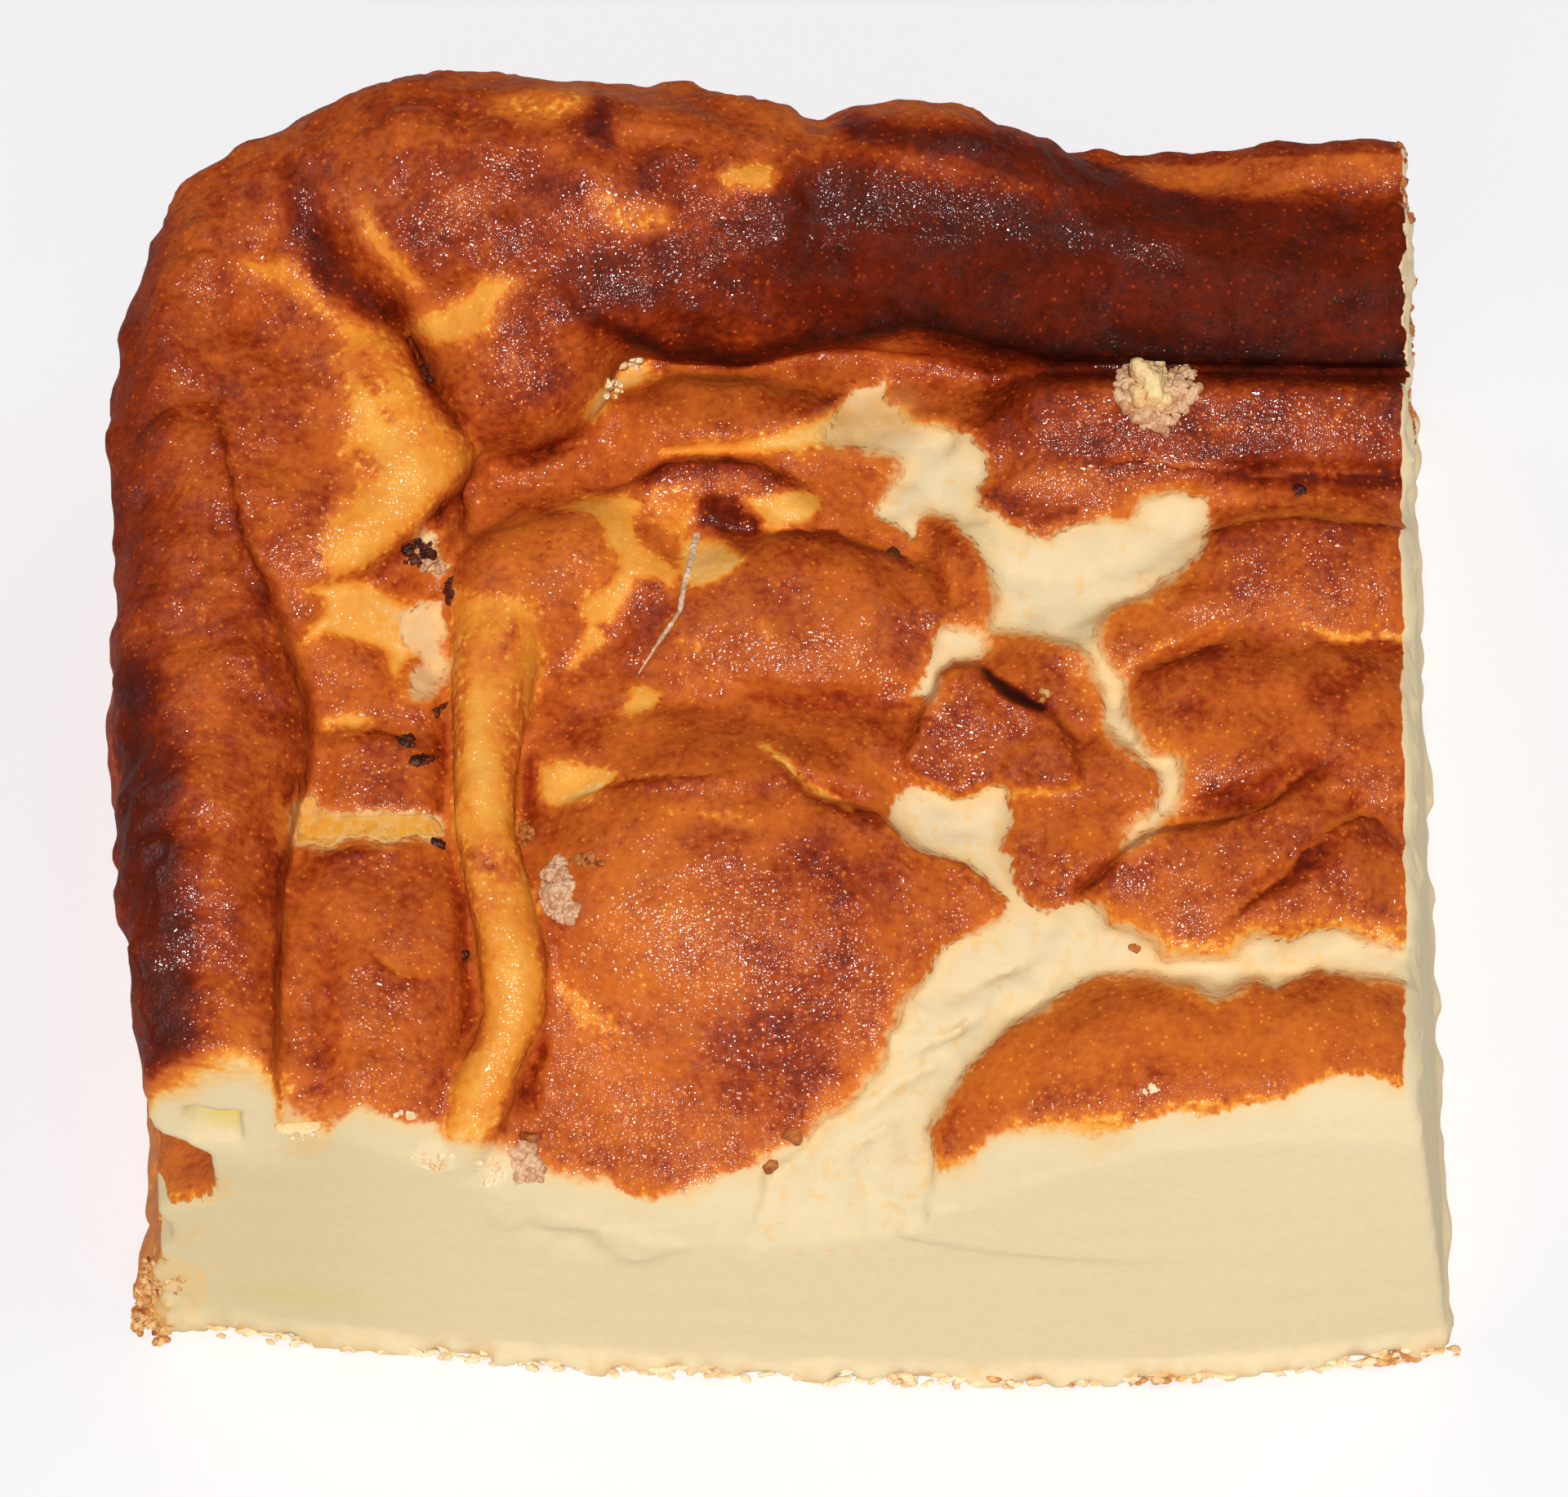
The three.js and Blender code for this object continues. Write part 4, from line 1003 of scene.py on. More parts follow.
    def add_roll(self, values: Array, roll: Roll) -> None:
        """Joins a roll to the field in place.

        Args:
            values: The field on the grid.
            roll: The roll to join.
        """
        path = roll.path()
        xs, ys, zs = self.axes()
        grids = (xs, ys, zs)
        margin = roll.blend + 2.0
        reach = path[:, 3].max() + margin
        whole = [slice(*np.searchsorted(g, [path[:, k].min() - reach, path[:, k].max() + reach]))
                 for k, g in enumerate(grids)]
        near = np.full(values[tuple(whole)].shape, 1e3, dtype=np.float32)
        for a, b in zip(path, path[1:]):
            span = max(a[3], b[3]) + margin
            part = [slice(*np.searchsorted(g, [min(a[k], b[k]) - span, max(a[k], b[k]) + span]))
                    for k, g in enumerate(grids)]
            inner = tuple(slice(p.start - w.start, p.stop - w.start) for p, w in zip(part, whole))
            if min(p.stop - p.start for p in part) <= 0:
                continue
            x = xs[part[0]][:, None, None] - a[0]
            y = ys[part[1]][None, :, None] - a[1]
            z = zs[part[2]][None, None, :] - a[2]
            d = b - a
            t = np.clip((x * d[0] + y * d[1] + z * d[2]) / (d[:3] @ d[:3]), 0.0, 1.0)
            away = np.sqrt((x - t * d[0]) ** 2 + (y - t * d[1]) ** 2 + (z - t * d[2]) ** 2) - a[3] - t * d[3]
            near[inner] = np.minimum(near[inner], away)
        values[tuple(whole)] = blend_union(values[tuple(whole)], near, roll.blend)

    def mark_depth(self, points: Array) -> Array:
        """How deep the marks of the top press each place; negative where they lift it.

        Args:
            points: Places of the top in millimetres, one row each.

        Returns:
            Depth in millimetres.
        """
        marks = self.marks
        u, v = self.layout(points)
        shaken = self.warped_layout(points)
        depth = marks.pressed(u, v) - marks.lifted(u, v)
        for sunk, crack in marks.cracks():
            depth += sunk * smoothstep(0.35, -0.35, crack.edge(*shaken))
        flake = marks.flake_lift + marks.flake_lean * np.clip(v - marks.flake_foot, 0.0, marks.flake_span)
        depth -= flake * smoothstep(0.4, -0.4, marks.flake.edge(*shaken))
        band = marks.band_lean * np.clip(v - marks.band_foot, 0.0, marks.band_span)
        depth -= band * smoothstep(14.0, 18.0, u) * smoothstep(22.4, 20.6, v)
        lip = smoothstep(0.8, -0.4, marks.lip.edge(u, v))
        depth -= 0.6 * lip * self.lattice.fractal(points + 37.0, 1.2, 3)
        return depth

    def relief(self, points: Array) -> Array:
        """How far the skin is pressed in at each place; negative where it is lifted.

        Args:
            points: Places in millimetres, one row each.

        Returns:
            Depth in millimetres.
        """
        x, y, z = points.T
        noise = self.lattice.fractal
        end = self.skin_end(y)
        top = z > end
        u, v = self.layout(points[top])
        total, torn, rim, yellow = np.zeros((4, len(points)), dtype=np.float32)
        total[top] = self.mark_depth(points[top]) * smoothstep(0.0, 4.0, z[top] - end[top])
        torn[top] = smoothstep(0.4, -0.6, self.marks.pale_distance(*self.warped_layout(points[top])))
        rim[top] = self.marks.rim(u, v)
        golden = np.minimum(self.marks.ridge.edge(u, v), self.marks.flap.edge(u, v))
        yellow[top] = smoothstep(0.5, -0.5, golden)
        behind = y - self.front_cut(x, z)
        calm = smoothstep(0.0, 4.0, behind)
        crumbly = smoothstep(-39.5, -42.5, x) * smoothstep(7.5, 4.0, z) * smoothstep(5.0, 2.0, behind)
        total -= crumbly * (0.4 + 0.9 * noise(points + 31.0, 1.2, 3))
        rough = np.where(top, 0.15 + 0.08 * rim, 0.3 * calm)
        total += rough * noise(points, 2.4, 3) + 0.35 * torn * noise(points, 1.7, 2)
        total += 0.32 * rim * noise(points * (0.6, 1.0, 1.0) + 41.0, 2.8, 2)
        fine = np.where(top, 0.07 + 0.13 * rim + 0.08 * yellow, 0.2 * calm)
        total += fine * self.lattice.at(points + 67.0, 1.15)
        waves = np.where(top, 0.2 + 0.6 * rim, 0.4 * calm)
        return total + waves * noise(points + 19.0, 6.5, 2)

    def sample(self) -> Array:
        """The field on the grid, negative inside.

        Returns:
            Values in millimetres, indexed by X, Y and Z.
        """
        xs, ys, zs = self.axes()
        x, y, z = xs[:, None, None], ys[None, :, None], zs[None, None, :]
        height = self.top_height(xs[:, None], ys[None, :]).astype(np.float32)
        top = (z - height[:, :, None]) * self.top_steepness
        values = blend_cut(top, self.wall_distance(x, y, z), self.wall_rounding).astype(np.float32)
        for roll in self.rolls:
            self.add_roll(values, roll)
        band = np.abs(values) < self.relief_band
        index = np.argwhere(band)
        points = np.stack([xs[index[:, 0]], ys[index[:, 1]], zs[index[:, 2]]], axis=1)
        values[band] += self.relief(points)
        front = self.front_cut(x, z) - y - self.front_relief(xs, zs)[:, None, :]
        right = x - self.right_cut(y, z) - self.right_relief(ys, zs)[None, :, :]
        values = blend_cut(values, front.astype(np.float32), self.cut_rounding)
        values = blend_cut(values, right.astype(np.float32), self.cut_rounding)
        self.hollow_out(values)
        return np.maximum(values, -z + np.zeros_like(values))

    def hollow_out(self, values: Array) -> None:
        """Hollows a ragged recess under the lip at the cut end of the left rim, in place.

        Args:
            values: The field on the grid.
        """
        near = [slice(*np.searchsorted(g, [at - half - 2.0, at + half + 2.0]))
                for g, at, half in zip(self.axes(), self.pocket_at, self.pocket_half)]
        x, y, z = np.meshgrid(*[g[part] for g, part in zip(self.axes(), near)], indexing="ij")
        rise = (z - self.pocket_at[2]) / self.pocket_half[2]
        deep = self.pocket_half[1] * np.clip(0.5 + 0.5 * rise, 0.0, 1.0) * smoothstep(-40.6, -38.2, x)
        beside = np.abs(x - self.pocket_at[0]) - self.pocket_half[0]
        walls = np.maximum(beside, y - self.front_cut(x, z) - deep)
        walls = np.maximum(walls, (np.abs(rise) - 1.0) * self.pocket_half[2])
        points = np.stack([x.ravel(), y.ravel(), z.ravel()], axis=1)
        walls += 0.3 * self.lattice.fractal(points + 3.0, 1.5, 3).reshape(walls.shape)
        values[tuple(near)] = blend_cut(values[tuple(near)], -walls.astype(np.float32), 0.4)

    def in_pocket(self, points: Array) -> Array:
        """Share of 1 deep in the recess at the end of the left rim, 0 elsewhere.

        Args:
            points: Places in millimetres, one row each.

        Returns:
            One value for each place.
        """
        x, y, z = points.T
        beside = np.maximum(np.abs(x - self.pocket_at[0]) - self.pocket_half[0],
                            np.abs(z - self.pocket_at[2]) - self.pocket_half[2])
        return smoothstep(0.3, 1.6, y - self.front_cut(x, z)) * smoothstep(0.4, -0.2, beside)

    def front_spots(self, x: Array, z: Array) -> Array:
        """Share of 1 where bits of custard are torn out of the front cut, just under the skin."""
        return np.max([smoothstep(1.0, 0.3, oval(x, z, *spot)) for spot in self.torn_spots], axis=0)

    def front_relief(self, xs: Array, zs: Array) -> Array:
        """How far the front cut stands out: torn lumps, a drag line of the knife and a flaky foot.

        Args:
            xs: Grid lines along X.
            zs: Grid lines along Z.

        Returns:
            Millimetres, indexed by X and Z.
        """
        x, z = np.meshgrid(xs, zs, indexing="ij")
        flat = np.stack([x.ravel(), np.zeros(x.size), z.ravel()], axis=1)

        def noise(places: Array, wavelength: float, octaves: int) -> Array:
            """Noise on the grid of the cut."""
            return self.lattice.fractal(places, wavelength, octaves).reshape(x.shape)

        across, up = (x - self.lumps_at[0]) / self.lumps_half[0], (z - self.lumps_at[1]) / self.lumps_half[1]
        torn = smoothstep(0.0, 0.6, 1.0 - across**2 - up**2)
        relief = 0.7 * torn * noise(flat, 3.4, 3)
        above = z - np.interp(x, *self.drag_line)
        along = smoothstep(-7.0, -2.0, x) * smoothstep(28.0, 18.0, x)
        relief += 0.35 * along * smoothstep(-0.4, 0.4, above) * np.exp(-np.maximum(above, 0.0) / 3.0)
        relief += 0.03 * noise(flat * (0.12, 1.0, 1.0), 1.1, 2)
        relief += self.front_spots(x, z) * (0.5 + 1.1 * noise(flat + 37.0, 1.2, 3))
        crumbly = smoothstep(-39.0, -42.5, x) * smoothstep(7.5, 3.0, z)
        relief += crumbly * (0.5 + 0.9 * noise(flat + 13.0, 1.2, 3))
        lip = 0.5 + 0.5 * noise(flat * (1.0, 1.0, 0.5), 1.3, 2)
        lip += 0.35 * noise(flat + 23.0, 6.0, 1)
        top = 1.3 + 0.8 * noise(flat * (1.0, 1.0, 0.0) + 9.0, 2.0, 3)
        return relief + np.maximum(lip, 0.0) * smoothstep(0.5, -0.5, z - top)

    def right_relief(self, ys: Array, zs: Array) -> Array:
        """How far the right cut stands out: upright streaks and a flaky foot.

        Args:
            ys: Grid lines along Y.
            zs: Grid lines along Z.

        Returns:
            Millimetres, indexed by Y and Z.
        """
        y, z = np.meshgrid(ys, zs, indexing="ij")
        flat = np.stack([np.full(y.size, 9.0), y.ravel(), z.ravel()], axis=1)
        relief = 0.12 * self.lattice.fractal(flat * (1.0, 1.0, 0.15), 1.6, 2).reshape(y.shape)
        relief += 0.45 * smoothstep(22.0, 26.0, z) * self.lattice.fractal(flat + 5.0, 1.7, 3).reshape(y.shape)
        lip = 0.3 + 0.4 * self.lattice.fractal(flat * (1.0, 1.0, 0.4), 3.0, 3).reshape(y.shape)
        return relief + np.maximum(lip, 0.0) * smoothstep(2.0, 0.9, z)

    def mesh_arrays(self) -> tuple[Array, Array]:
        """Surface of the field.

        Returns:
            Vertices in millimetres and quads.
        """
        grid = openvdb.FloatGrid(1.0)
        grid.copyFromArray(self.sample())
        points, _, quads = grid.convertToPolygons(isovalue=0.0, adaptivity=0.0)
        return points * self.cell + np.array(self.low, dtype=np.float32), quads


@dataclass(frozen=True)
class FrontEdge:
    """Where the browned skin ends above the front cut, on the layout level."""

    stations: tuple[Pair, ...] = (
        (-44.5, -38.4), (-42.2, -36.5), (-41.1, -34.9), (-38.9, -33.9), (-37.6, -32.8), (-35.7, -32.4),
        (-34.2, -33), (-33.4, -36.6), (-31, -37.8), (-29.7, -37.2), (-28, -35), (-26, -36), (-23, -36.5),
        (-22, -38), (-17, -38.3), (-15, -40.2), (-12, -40.8), (-9, -42.2), (-6, -41), (-2, -39.4),
        (1, -37.4), (4, -40), (10, -40.1), (12.5, -39), (13, -37.4), (15, -36.7), (18, -36.7),
        (20, -37.6), (22, -37), (24, -35.7), (27, -35.7), (30, -35.2), (33, -34), (36, -33.1), (38, -33),
        (40.5, -34), (46, -34))

    def inside(self, u: Array, v: Array) -> Array:
        """Distance behind the edge, negative in front of it."""
        return v - np.interp(u, *zip(*self.stations))


class ShaderGraph:
    """Adds and links the shader nodes of one material."""

    def __init__(self, name: str) -> None:
        """Makes an empty node material.

        Args:
            name: Name of the material.
        """
        self.material = bpy.data.materials.new(name)
        self.material.use_nodes = True
        self.tree = self.material.node_tree
        self.tree.nodes.clear()

    def node(self, kind: str, feeds: Feeds, **settings: object) -> bpy.types.Node:
        """Adds a node.

        Args:
            kind: Blender's name of the kind of node.
            feeds: For each input, by its name or number, a socket to link or a value to set.
            settings: Properties of the node itself.

        Returns:
            The node.
        """
        made = self.tree.nodes.new(kind)
        for key, value in settings.items():
            setattr(made, key, value)
        for key, value in feeds.items():
            if isinstance(value, Socket):
                self.tree.links.new(value, made.inputs[key])
            else:
                made.inputs[key].default_value = value
        return made

    def math(self, operation: str, a: object, b: object = 0.0, c: object = 0.0) -> Socket:
        """Result of a math node."""
        return self.node("ShaderNodeMath", {0: a, 1: b, 2: c}, operation=operation).outputs[0]

    def weigh(self, base: object, *terms: tuple[object, float]) -> Socket:
        """Sum of a base and of terms, each times its weight.

        Args:
            base: Socket or number to start from.
            terms: Sockets or numbers and their weights.

        Returns:
            The sum.
        """
        total = base
        for value, weight in terms:
            total = self.math("MULTIPLY_ADD", value, weight, total)
        return total

    def attribute(self, name: str) -> Socket:
        """Value of a number kept on the mesh."""
        return self.node("ShaderNodeAttribute", {}, attribute_name=name).outputs["Fac"]

    def noise(self, place: Socket, scale: float, detail: float) -> Socket:
        """Noise between 0 and 1 at a number of waves per millimetre."""
        feeds = {"Vector": place, "Scale": scale, "Detail": detail}
        return self.node("ShaderNodeTexNoise", feeds).outputs["Fac"]

    def dots(self, place: Socket, scale: float) -> Socket:
        """Distance to the nearest of strewn points, as a share of their spacing."""
        return self.node("ShaderNodeTexVoronoi", {"Vector": place, "Scale": scale}).outputs["Distance"]

    def ramp(self, factor: Socket, stops: list[tuple[float, tuple]]) -> Socket:
        """Colour along a row of stops.

        Args:
            factor: Place along the row.
            stops: Place and colour of each stop.

        Returns:
            The colour.
        """
        made = self.node("ShaderNodeValToRGB", {"Fac": factor})
        row = made.color_ramp.elements
        while len(row) < len(stops):
            row.new(1.0)
        for element, (place, colour) in zip(row, stops):
            element.position = place
            element.color = colour
        return made.outputs["Color"]

    def step(self, value: Socket, low: object, high: object) -> Socket:
        """Smooth ramp from 0 to 1 between two values."""
        feeds = {"Value": value, "From Min": low, "From Max": high}
        return self.node("ShaderNodeMapRange", feeds, interpolation_type="SMOOTHSTEP").outputs["Result"]

    def mix(self, share: object, a: object, b: object) -> Socket:
        """Mix of two colours."""
        return self.node("ShaderNodeMix", {0: share, 6: a, 7: b}, data_type="RGBA").outputs[2]

    def bump(self, height: Socket, distance: float) -> Socket:
        """Normal of a fine relief given in millimetres."""
        feeds = {"Height": height, "Distance": distance * MM, "Strength": 1.0}
        return self.node("ShaderNodeBump", feeds).outputs["Normal"]

    def millimetres(self) -> Socket:
        """Place on the object in millimetres."""
        place = self.node("ShaderNodeTexCoord", {}).outputs["Object"]
        return self.node("ShaderNodeVectorMath", {0: place, "Scale": 1.0 / MM}, operation="SCALE").outputs[0]

    def dress(self, feeds: Feeds) -> bpy.types.Material:
        """Ends the material in one surface.

        Args:
            feeds: Value or socket for each input of the surface.

        Returns:
            The finished material.
        """
        shader = self.node("ShaderNodeBsdfPrincipled", feeds)
        self.node("ShaderNodeOutputMaterial", {"Surface": shader.outputs[0]})
        return self.material


class BakedGraph(ShaderGraph):
    """Nodes of the baked finish, with the noises that its parts share."""

    def __init__(self, name: str) -> None:
        """Makes the material and its noises: small spots, wide clouds and fine grain.

        Args:
            name: Name of the material.
        """
        super().__init__(name)
        self.place = self.millimetres()
        self.mottle = self.noise(self.place, 1.7, 4.0)
        self.clouds = self.noise(self.place, 0.3, 3.0)
        self.grain = self.noise(self.place, 3.7, 3.0)


@dataclass(frozen=True)
class BakedFinish:
    """Browned skin over pale custard, told apart by the numbers kept on the mesh."""

    light: Colour = (229, 208, 167)
    dim: Colour = (211, 191, 147)
    stain: Colour = (230, 178, 100)
    gold: Colour = (216, 150, 48)
    curd: Colour = (206, 184, 92)
    tan: Colour = (206, 146, 86)
    browns: tuple[tuple[float, Colour], ...] = (
        (0.0, (238, 202, 134)), (0.14, (234, 166, 70)), (0.28, (224, 136, 42)), (0.37, (207, 108, 36)),
        (0.46, (200, 102, 34)), (0.58, (181, 84, 28)), (0.7, (147, 52, 14)), (0.82, (102, 28, 7)),
        (0.92, (72, 20, 7)), (1.0, (46, 14, 7)))

    def skin_colour(self, graph: BakedGraph, edge: Socket, soft: Socket) -> Socket:
        """Colour of the skin, paler along its edges.

        Args:
            graph: The material's nodes.
            edge: Ragged distance inside the skin.
            soft: How softly the skin ends.

        Returns:
            The colour.
        """
        bake_and_shade = graph.attribute("bake_and_shade")
        flecks = graph.step(graph.dots(graph.place, 1.4), 0.24, 0.08)
        spotty = graph.weigh(-0.44, (graph.clouds, 0.46), (graph.mottle, 0.35))
        unrest = graph.weigh(spotty, (graph.grain, 0.1), (flecks, -0.25))
        browned = graph.weigh(0.45, (graph.step(bake_and_shade, 0.1, 0.55), 0.55), (graph.step(bake_and_shade, 0.68, 0.9), -0.35),
                              (graph.attribute("crust"), -0.35))
        level = graph.math("MULTIPLY_ADD", unrest, browned, bake_and_shade)
        border = graph.math("MULTIPLY", graph.step(bake_and_shade, 0.29, 0.36), graph.step(bake_and_shade, 0.5, 0.42))
        level = graph.math("MULTIPLY_ADD", graph.weigh(-0.4, (graph.mottle, 0.8)), border, level)
        fringe = graph.step(edge, -0.2, graph.weigh(0.9, (soft, 2.2)))
        least = graph.weigh(0.65, (soft, -0.45))
        paler = graph.math("MULTIPLY_ADD", graph.math("SUBTRACT", 1.0, least), fringe, least)
        stops = [(place, linear(*colour)) for place, colour in self.browns]
        return graph.ramp(graph.math("MULTIPLY", level, paler), stops)

    def custard_colour(self, graph: BakedGraph, edge: Socket) -> Socket:
        """Colour of the bare custard, stained beside the skin.

        Args:
            graph: The material's nodes.
            edge: Ragged distance inside the skin.

        Returns:
            The colour.
        """
        tone = graph.weigh(graph.attribute("tone"), (graph.mottle, 0.5), (0.25, -1.0))
        custard = graph.mix(tone, linear(*self.dim), linear(*self.light))
        tint = graph.step(graph.weigh(edge, (graph.clouds, 3.0), (1.5, -1.0)), -1.6, 0.2)
        custard = graph.mix(graph.math("MULTIPLY", tint, 0.4), custard, linear(*self.stain))
        spots = graph.step(graph.noise(graph.place, 0.9, 4.0), 0.56, 0.66)
        specks = graph.math("MULTIPLY", spots, graph.attribute("crust"))
        return graph.mix(graph.math("MULTIPLY", specks, 0.5), custard, linear(*self.stain))

    @staticmethod
    def wetness(graph: BakedGraph) -> Socket:
        """Weight of the wet film on the skin, which is patchy.

        Args:
            graph: The material's nodes.

        Returns:
            The weight.
        """
        gloss = graph.attribute("gloss")
        on_skin = graph.step(graph.attribute("skin"), -0.2, 0.2)
        wet = graph.step(graph.weigh(gloss, (graph.clouds, 1.6), (0.95, -1.0)), -0.2, 0.6)
        wet = graph.math("MULTIPLY", wet, graph.math("MULTIPLY", on_skin, graph.step(gloss, 0.0, 0.3)))
        patchy = graph.step(graph.noise(graph.place, 0.8, 3.0), 0.36, 0.58)
        return graph.math("MULTIPLY", wet, graph.weigh(0.4, (patchy, 0.6)))

    def material(self) -> bpy.types.Material:
        """Builds the node material.

        Returns:
            The finished material.
        """
        graph = BakedGraph("baked_custard")
        edge = graph.weigh(graph.attribute("skin"), (graph.mottle, 1.2), (0.6, -1.0))
        soft = graph.attribute("soft")
        cover = graph.step(edge, graph.weigh(-0.1, (soft, -0.8)), graph.weigh(0.16, (soft, 1.2)))
        golden = graph.attribute("gold")
        patchy = graph.weigh(0.4, (graph.mottle, 1.2))
        gold = graph.math("MULTIPLY", graph.math("MAXIMUM", golden, 0.0), patchy)
        # Negative gold gives the yellow-green curd colour, which in the rim-end recess is partly painted
        # shade.
        curd = graph.math("MULTIPLY", graph.math("MINIMUM", golden, 0.0), -1.0)
        custard = graph.mix(gold, self.custard_colour(graph, edge), linear(*self.gold))
        custard = graph.mix(curd, custard, linear(*self.curd))
        skin = self.skin_colour(graph, edge, soft)
        skin = graph.mix(graph.math("MULTIPLY", gold, 0.6), skin, linear(*self.tan))
        rough = graph.math("MAXIMUM", cover, graph.step(golden, 0.55, 0.75))
        coarse = graph.weigh(0.1, (graph.math("MULTIPLY", graph.attribute("crust"), rough), 0.7))
        relief = graph.weigh(0.0, (graph.grain, 0.05), (graph.math("MULTIPLY", graph.mottle, coarse), 1.0))
        return graph.dress({
            "Base Color": graph.mix(cover, custard, skin),
            "Roughness": 0.6,
            "Specular IOR Level": 0.06,
            "Normal": graph.bump(relief, 0.5),
            "Coat Weight": self.wetness(graph),
            "Coat Roughness": 0.15,
            "Coat Normal": graph.bump(graph.noise(graph.place, 4.2, 0.0), 0.135),
            "Subsurface Weight": 0.08,
            "Subsurface Radius": (1.0, 0.5, 0.2),
            "Subsurface Scale": 1.2 * MM,
        })


@dataclass
class SkinPaint:
    """Numbers for the finish, worked out for each vertex of the portion."""

    form: CakeForm
    points: Array
    normals: Array
    rag: float = 1.6
    wall_skin: float = -1.2
    dent_skin: float = -3.0
    skin_overlap: float = 4.0
    rim_end: Pair = (-33.4, 21.5)
    corner_x: float = -41.4
    corner_lean: float = 0.26
    corner_top: float = 9.0
    corner_depth: float = 2.0
    fold_foot: Pair = (8.0, 9.0)
    fold_top: Pair = (13.8, 13.0)
    fold_end: float = -38.0
    fold_reach: float = 2.8
    bare_behind: float = 0.3
    wall_gold_behind: float = 0.6
    curd_at: Pair = (-33.0, 5.0)
    curd_half: Pair = (7.0, 1.8)
    facing_range: Pair = (0.68, 0.92)

    def __post_init__(self) -> None:
        """Works out what several of the numbers need."""
        x, y, z = self.points.T
        self.u, self.v = self.form.warped_layout(self.points)
        self.outside = self.form.wall_distance(x, y, z)
        end = self.form.skin_end(y)
        self.wall = (self.outside > self.wall_skin) & (z < end + self.skin_overlap)
        self.wall |= (self.outside > self.dent_skin) & (z < end)
        self.behind = y - self.form.front_cut(x, z)
        self.ragged = self.form.lattice.fractal(self.points, self.rag, 3)
        self.corner = x + 0.9 * self.ragged < self.corner_x - self.corner_lean * z
        self.corner &= (z < self.corner_top) & (self.behind < self.corner_depth + 1.5 * self.ragged)
        fold = smoothstep(*self.fold_foot, z + 0.6 * self.ragged) * smoothstep(*self.fold_top, z)
        self.reach = self.bare_behind + self.fold_reach * (fold * (x < self.fold_end))
        self.bare = self.form.marks.pale_distance(self.u, self.v)
        self.pressed = self.form.marks.pressed(*self.form.layout(self.points))
        self.pocket_shade = self.form.in_pocket(self.points)

    def skin(self) -> Array:
        """Distance inside the skin, negative on bare custard.

        Returns:
            One value for each vertex.
        """
        x, y, z = self.points.T
        skin = np.minimum(self.bare, FrontEdge().inside(self.u, self.v))
        skin = np.where(self.wall, 2.0, skin)
        at_rim_end = (x < self.rim_end[0]) & (z > self.rim_end[1])
        skin = np.minimum(skin, np.where(at_rim_end, FAR, self.behind - self.reach))
        skin = np.where(self.corner, -1.0, skin)
        cut = smoothstep(0.45, 0.75, self.normals[:, 0]) * (x > self.form.right_cut(y, z) - 1.2)
        cut *= smoothstep(-0.3, -0.8, self.outside + 0.3 * self.ragged)
        return np.minimum(skin, 4.0) - 8.0 * cut

    def bake_and_shade(self) -> Array:
        """How dark each place is: baked colour, darker in the creases as painted shade, lighter down the
        walls.

        Returns:
            One value for each vertex.
        """
        z = self.points[:, 2]
        # Deeper creases are painted darker, as painted shade in their grooves.
        top = self.form.marks.browning_and_shade(self.u, self.v) + 0.14 * np.minimum(self.pressed, 1.0)
        wall = self.form.marks.wall_level - 0.26 * smoothstep(28.0, 2.0, z)
        return np.where(self.wall, wall - 0.16 * smoothstep(3.0, 0.0, self.behind), top)

    def gloss(self) -> Array:
        """How glossy each place is; only what leans to the front is wet.

        Returns:
            One value for each vertex.
        """
        gloss = self.form.marks.shine(self.u, self.v) * (1.0 - np.minimum(1.2 * self.pressed, 1.0))
        facing = self.normals @ np.array(self.form.sight, dtype=np.float32)
        return np.where(self.wall | self.corner, 0.0, gloss * smoothstep(*self.facing_range, facing))

    def crust(self) -> Array:
        """How coarse the surface is.

        Returns:
            One value for each vertex.
        """
        u, v = self.u, self.v
        top = 0.3 * self.form.marks.rim(u, v) + 0.7 * smoothstep(-39.0, -43.0, u) * smoothstep(-6.0, 4.0, v)
        return np.where(self.bare < 0.0, 0.7, np.where(self.wall | self.corner, 0.5, top))

    def soft(self) -> Array:
        """How softly the skin ends.

        Returns:
            One value for each vertex.
        """
        clouds = self.form.lattice.fractal(self.points + 51.0, 5.0, 2)
        vague = 0.05 + 0.4 * smoothstep(-0.1, 0.4, clouds)
        vague = np.maximum(vague, smoothstep(-31.5, -34.5, self.u) * smoothstep(-25.0, -30.0, self.v))
        return np.where(self.wall | self.corner, 0.0, vague)

    def tone(self) -> Array:
        """How light the bare custard is: darker to the left, lighter to the right and up, and dimmed deep in
        the rim-end recess as painted shade.

        Returns:
            One value for each vertex.
        """
        x, _, z = self.points.T
        right = smoothstep(5.0, 45.0, x) * 0.3
        tone = 0.45 + 0.15 * smoothstep(-40.0, 5.0, x) + right * smoothstep(0.0, 25.0, z)
        tone = np.where(self.bare < 0.0, 0.7, tone - 0.45 * smoothstep(-20.0, -36.0, x))
        tone += 0.6 * smoothstep(18.0, 22.0, z) * smoothstep(-32.0, -35.0, x) + 0.35 * smoothstep(3.0, 0.5, z)
        # Torn spots are lighter; deep in the rim-end recess the custard is dimmed as painted shade.
        tone += 0.6 * self.form.front_spots(x, z) * (self.behind < 1.5) - self.pocket_shade
        return tone

    def gold(self, skin: Array) -> Array:
        """How golden each place is; negative where the custard is yellow, and in the rim-end recess, where
        that yellow is partly painted shade.

        Args:
            skin: Distance inside the skin.

        Returns:
            One value for each vertex.
        """
        x, _, z = self.points.T
        curd = 0.22 * smoothstep(1.0, 0.0, oval(x, z, self.curd_at, self.curd_half))
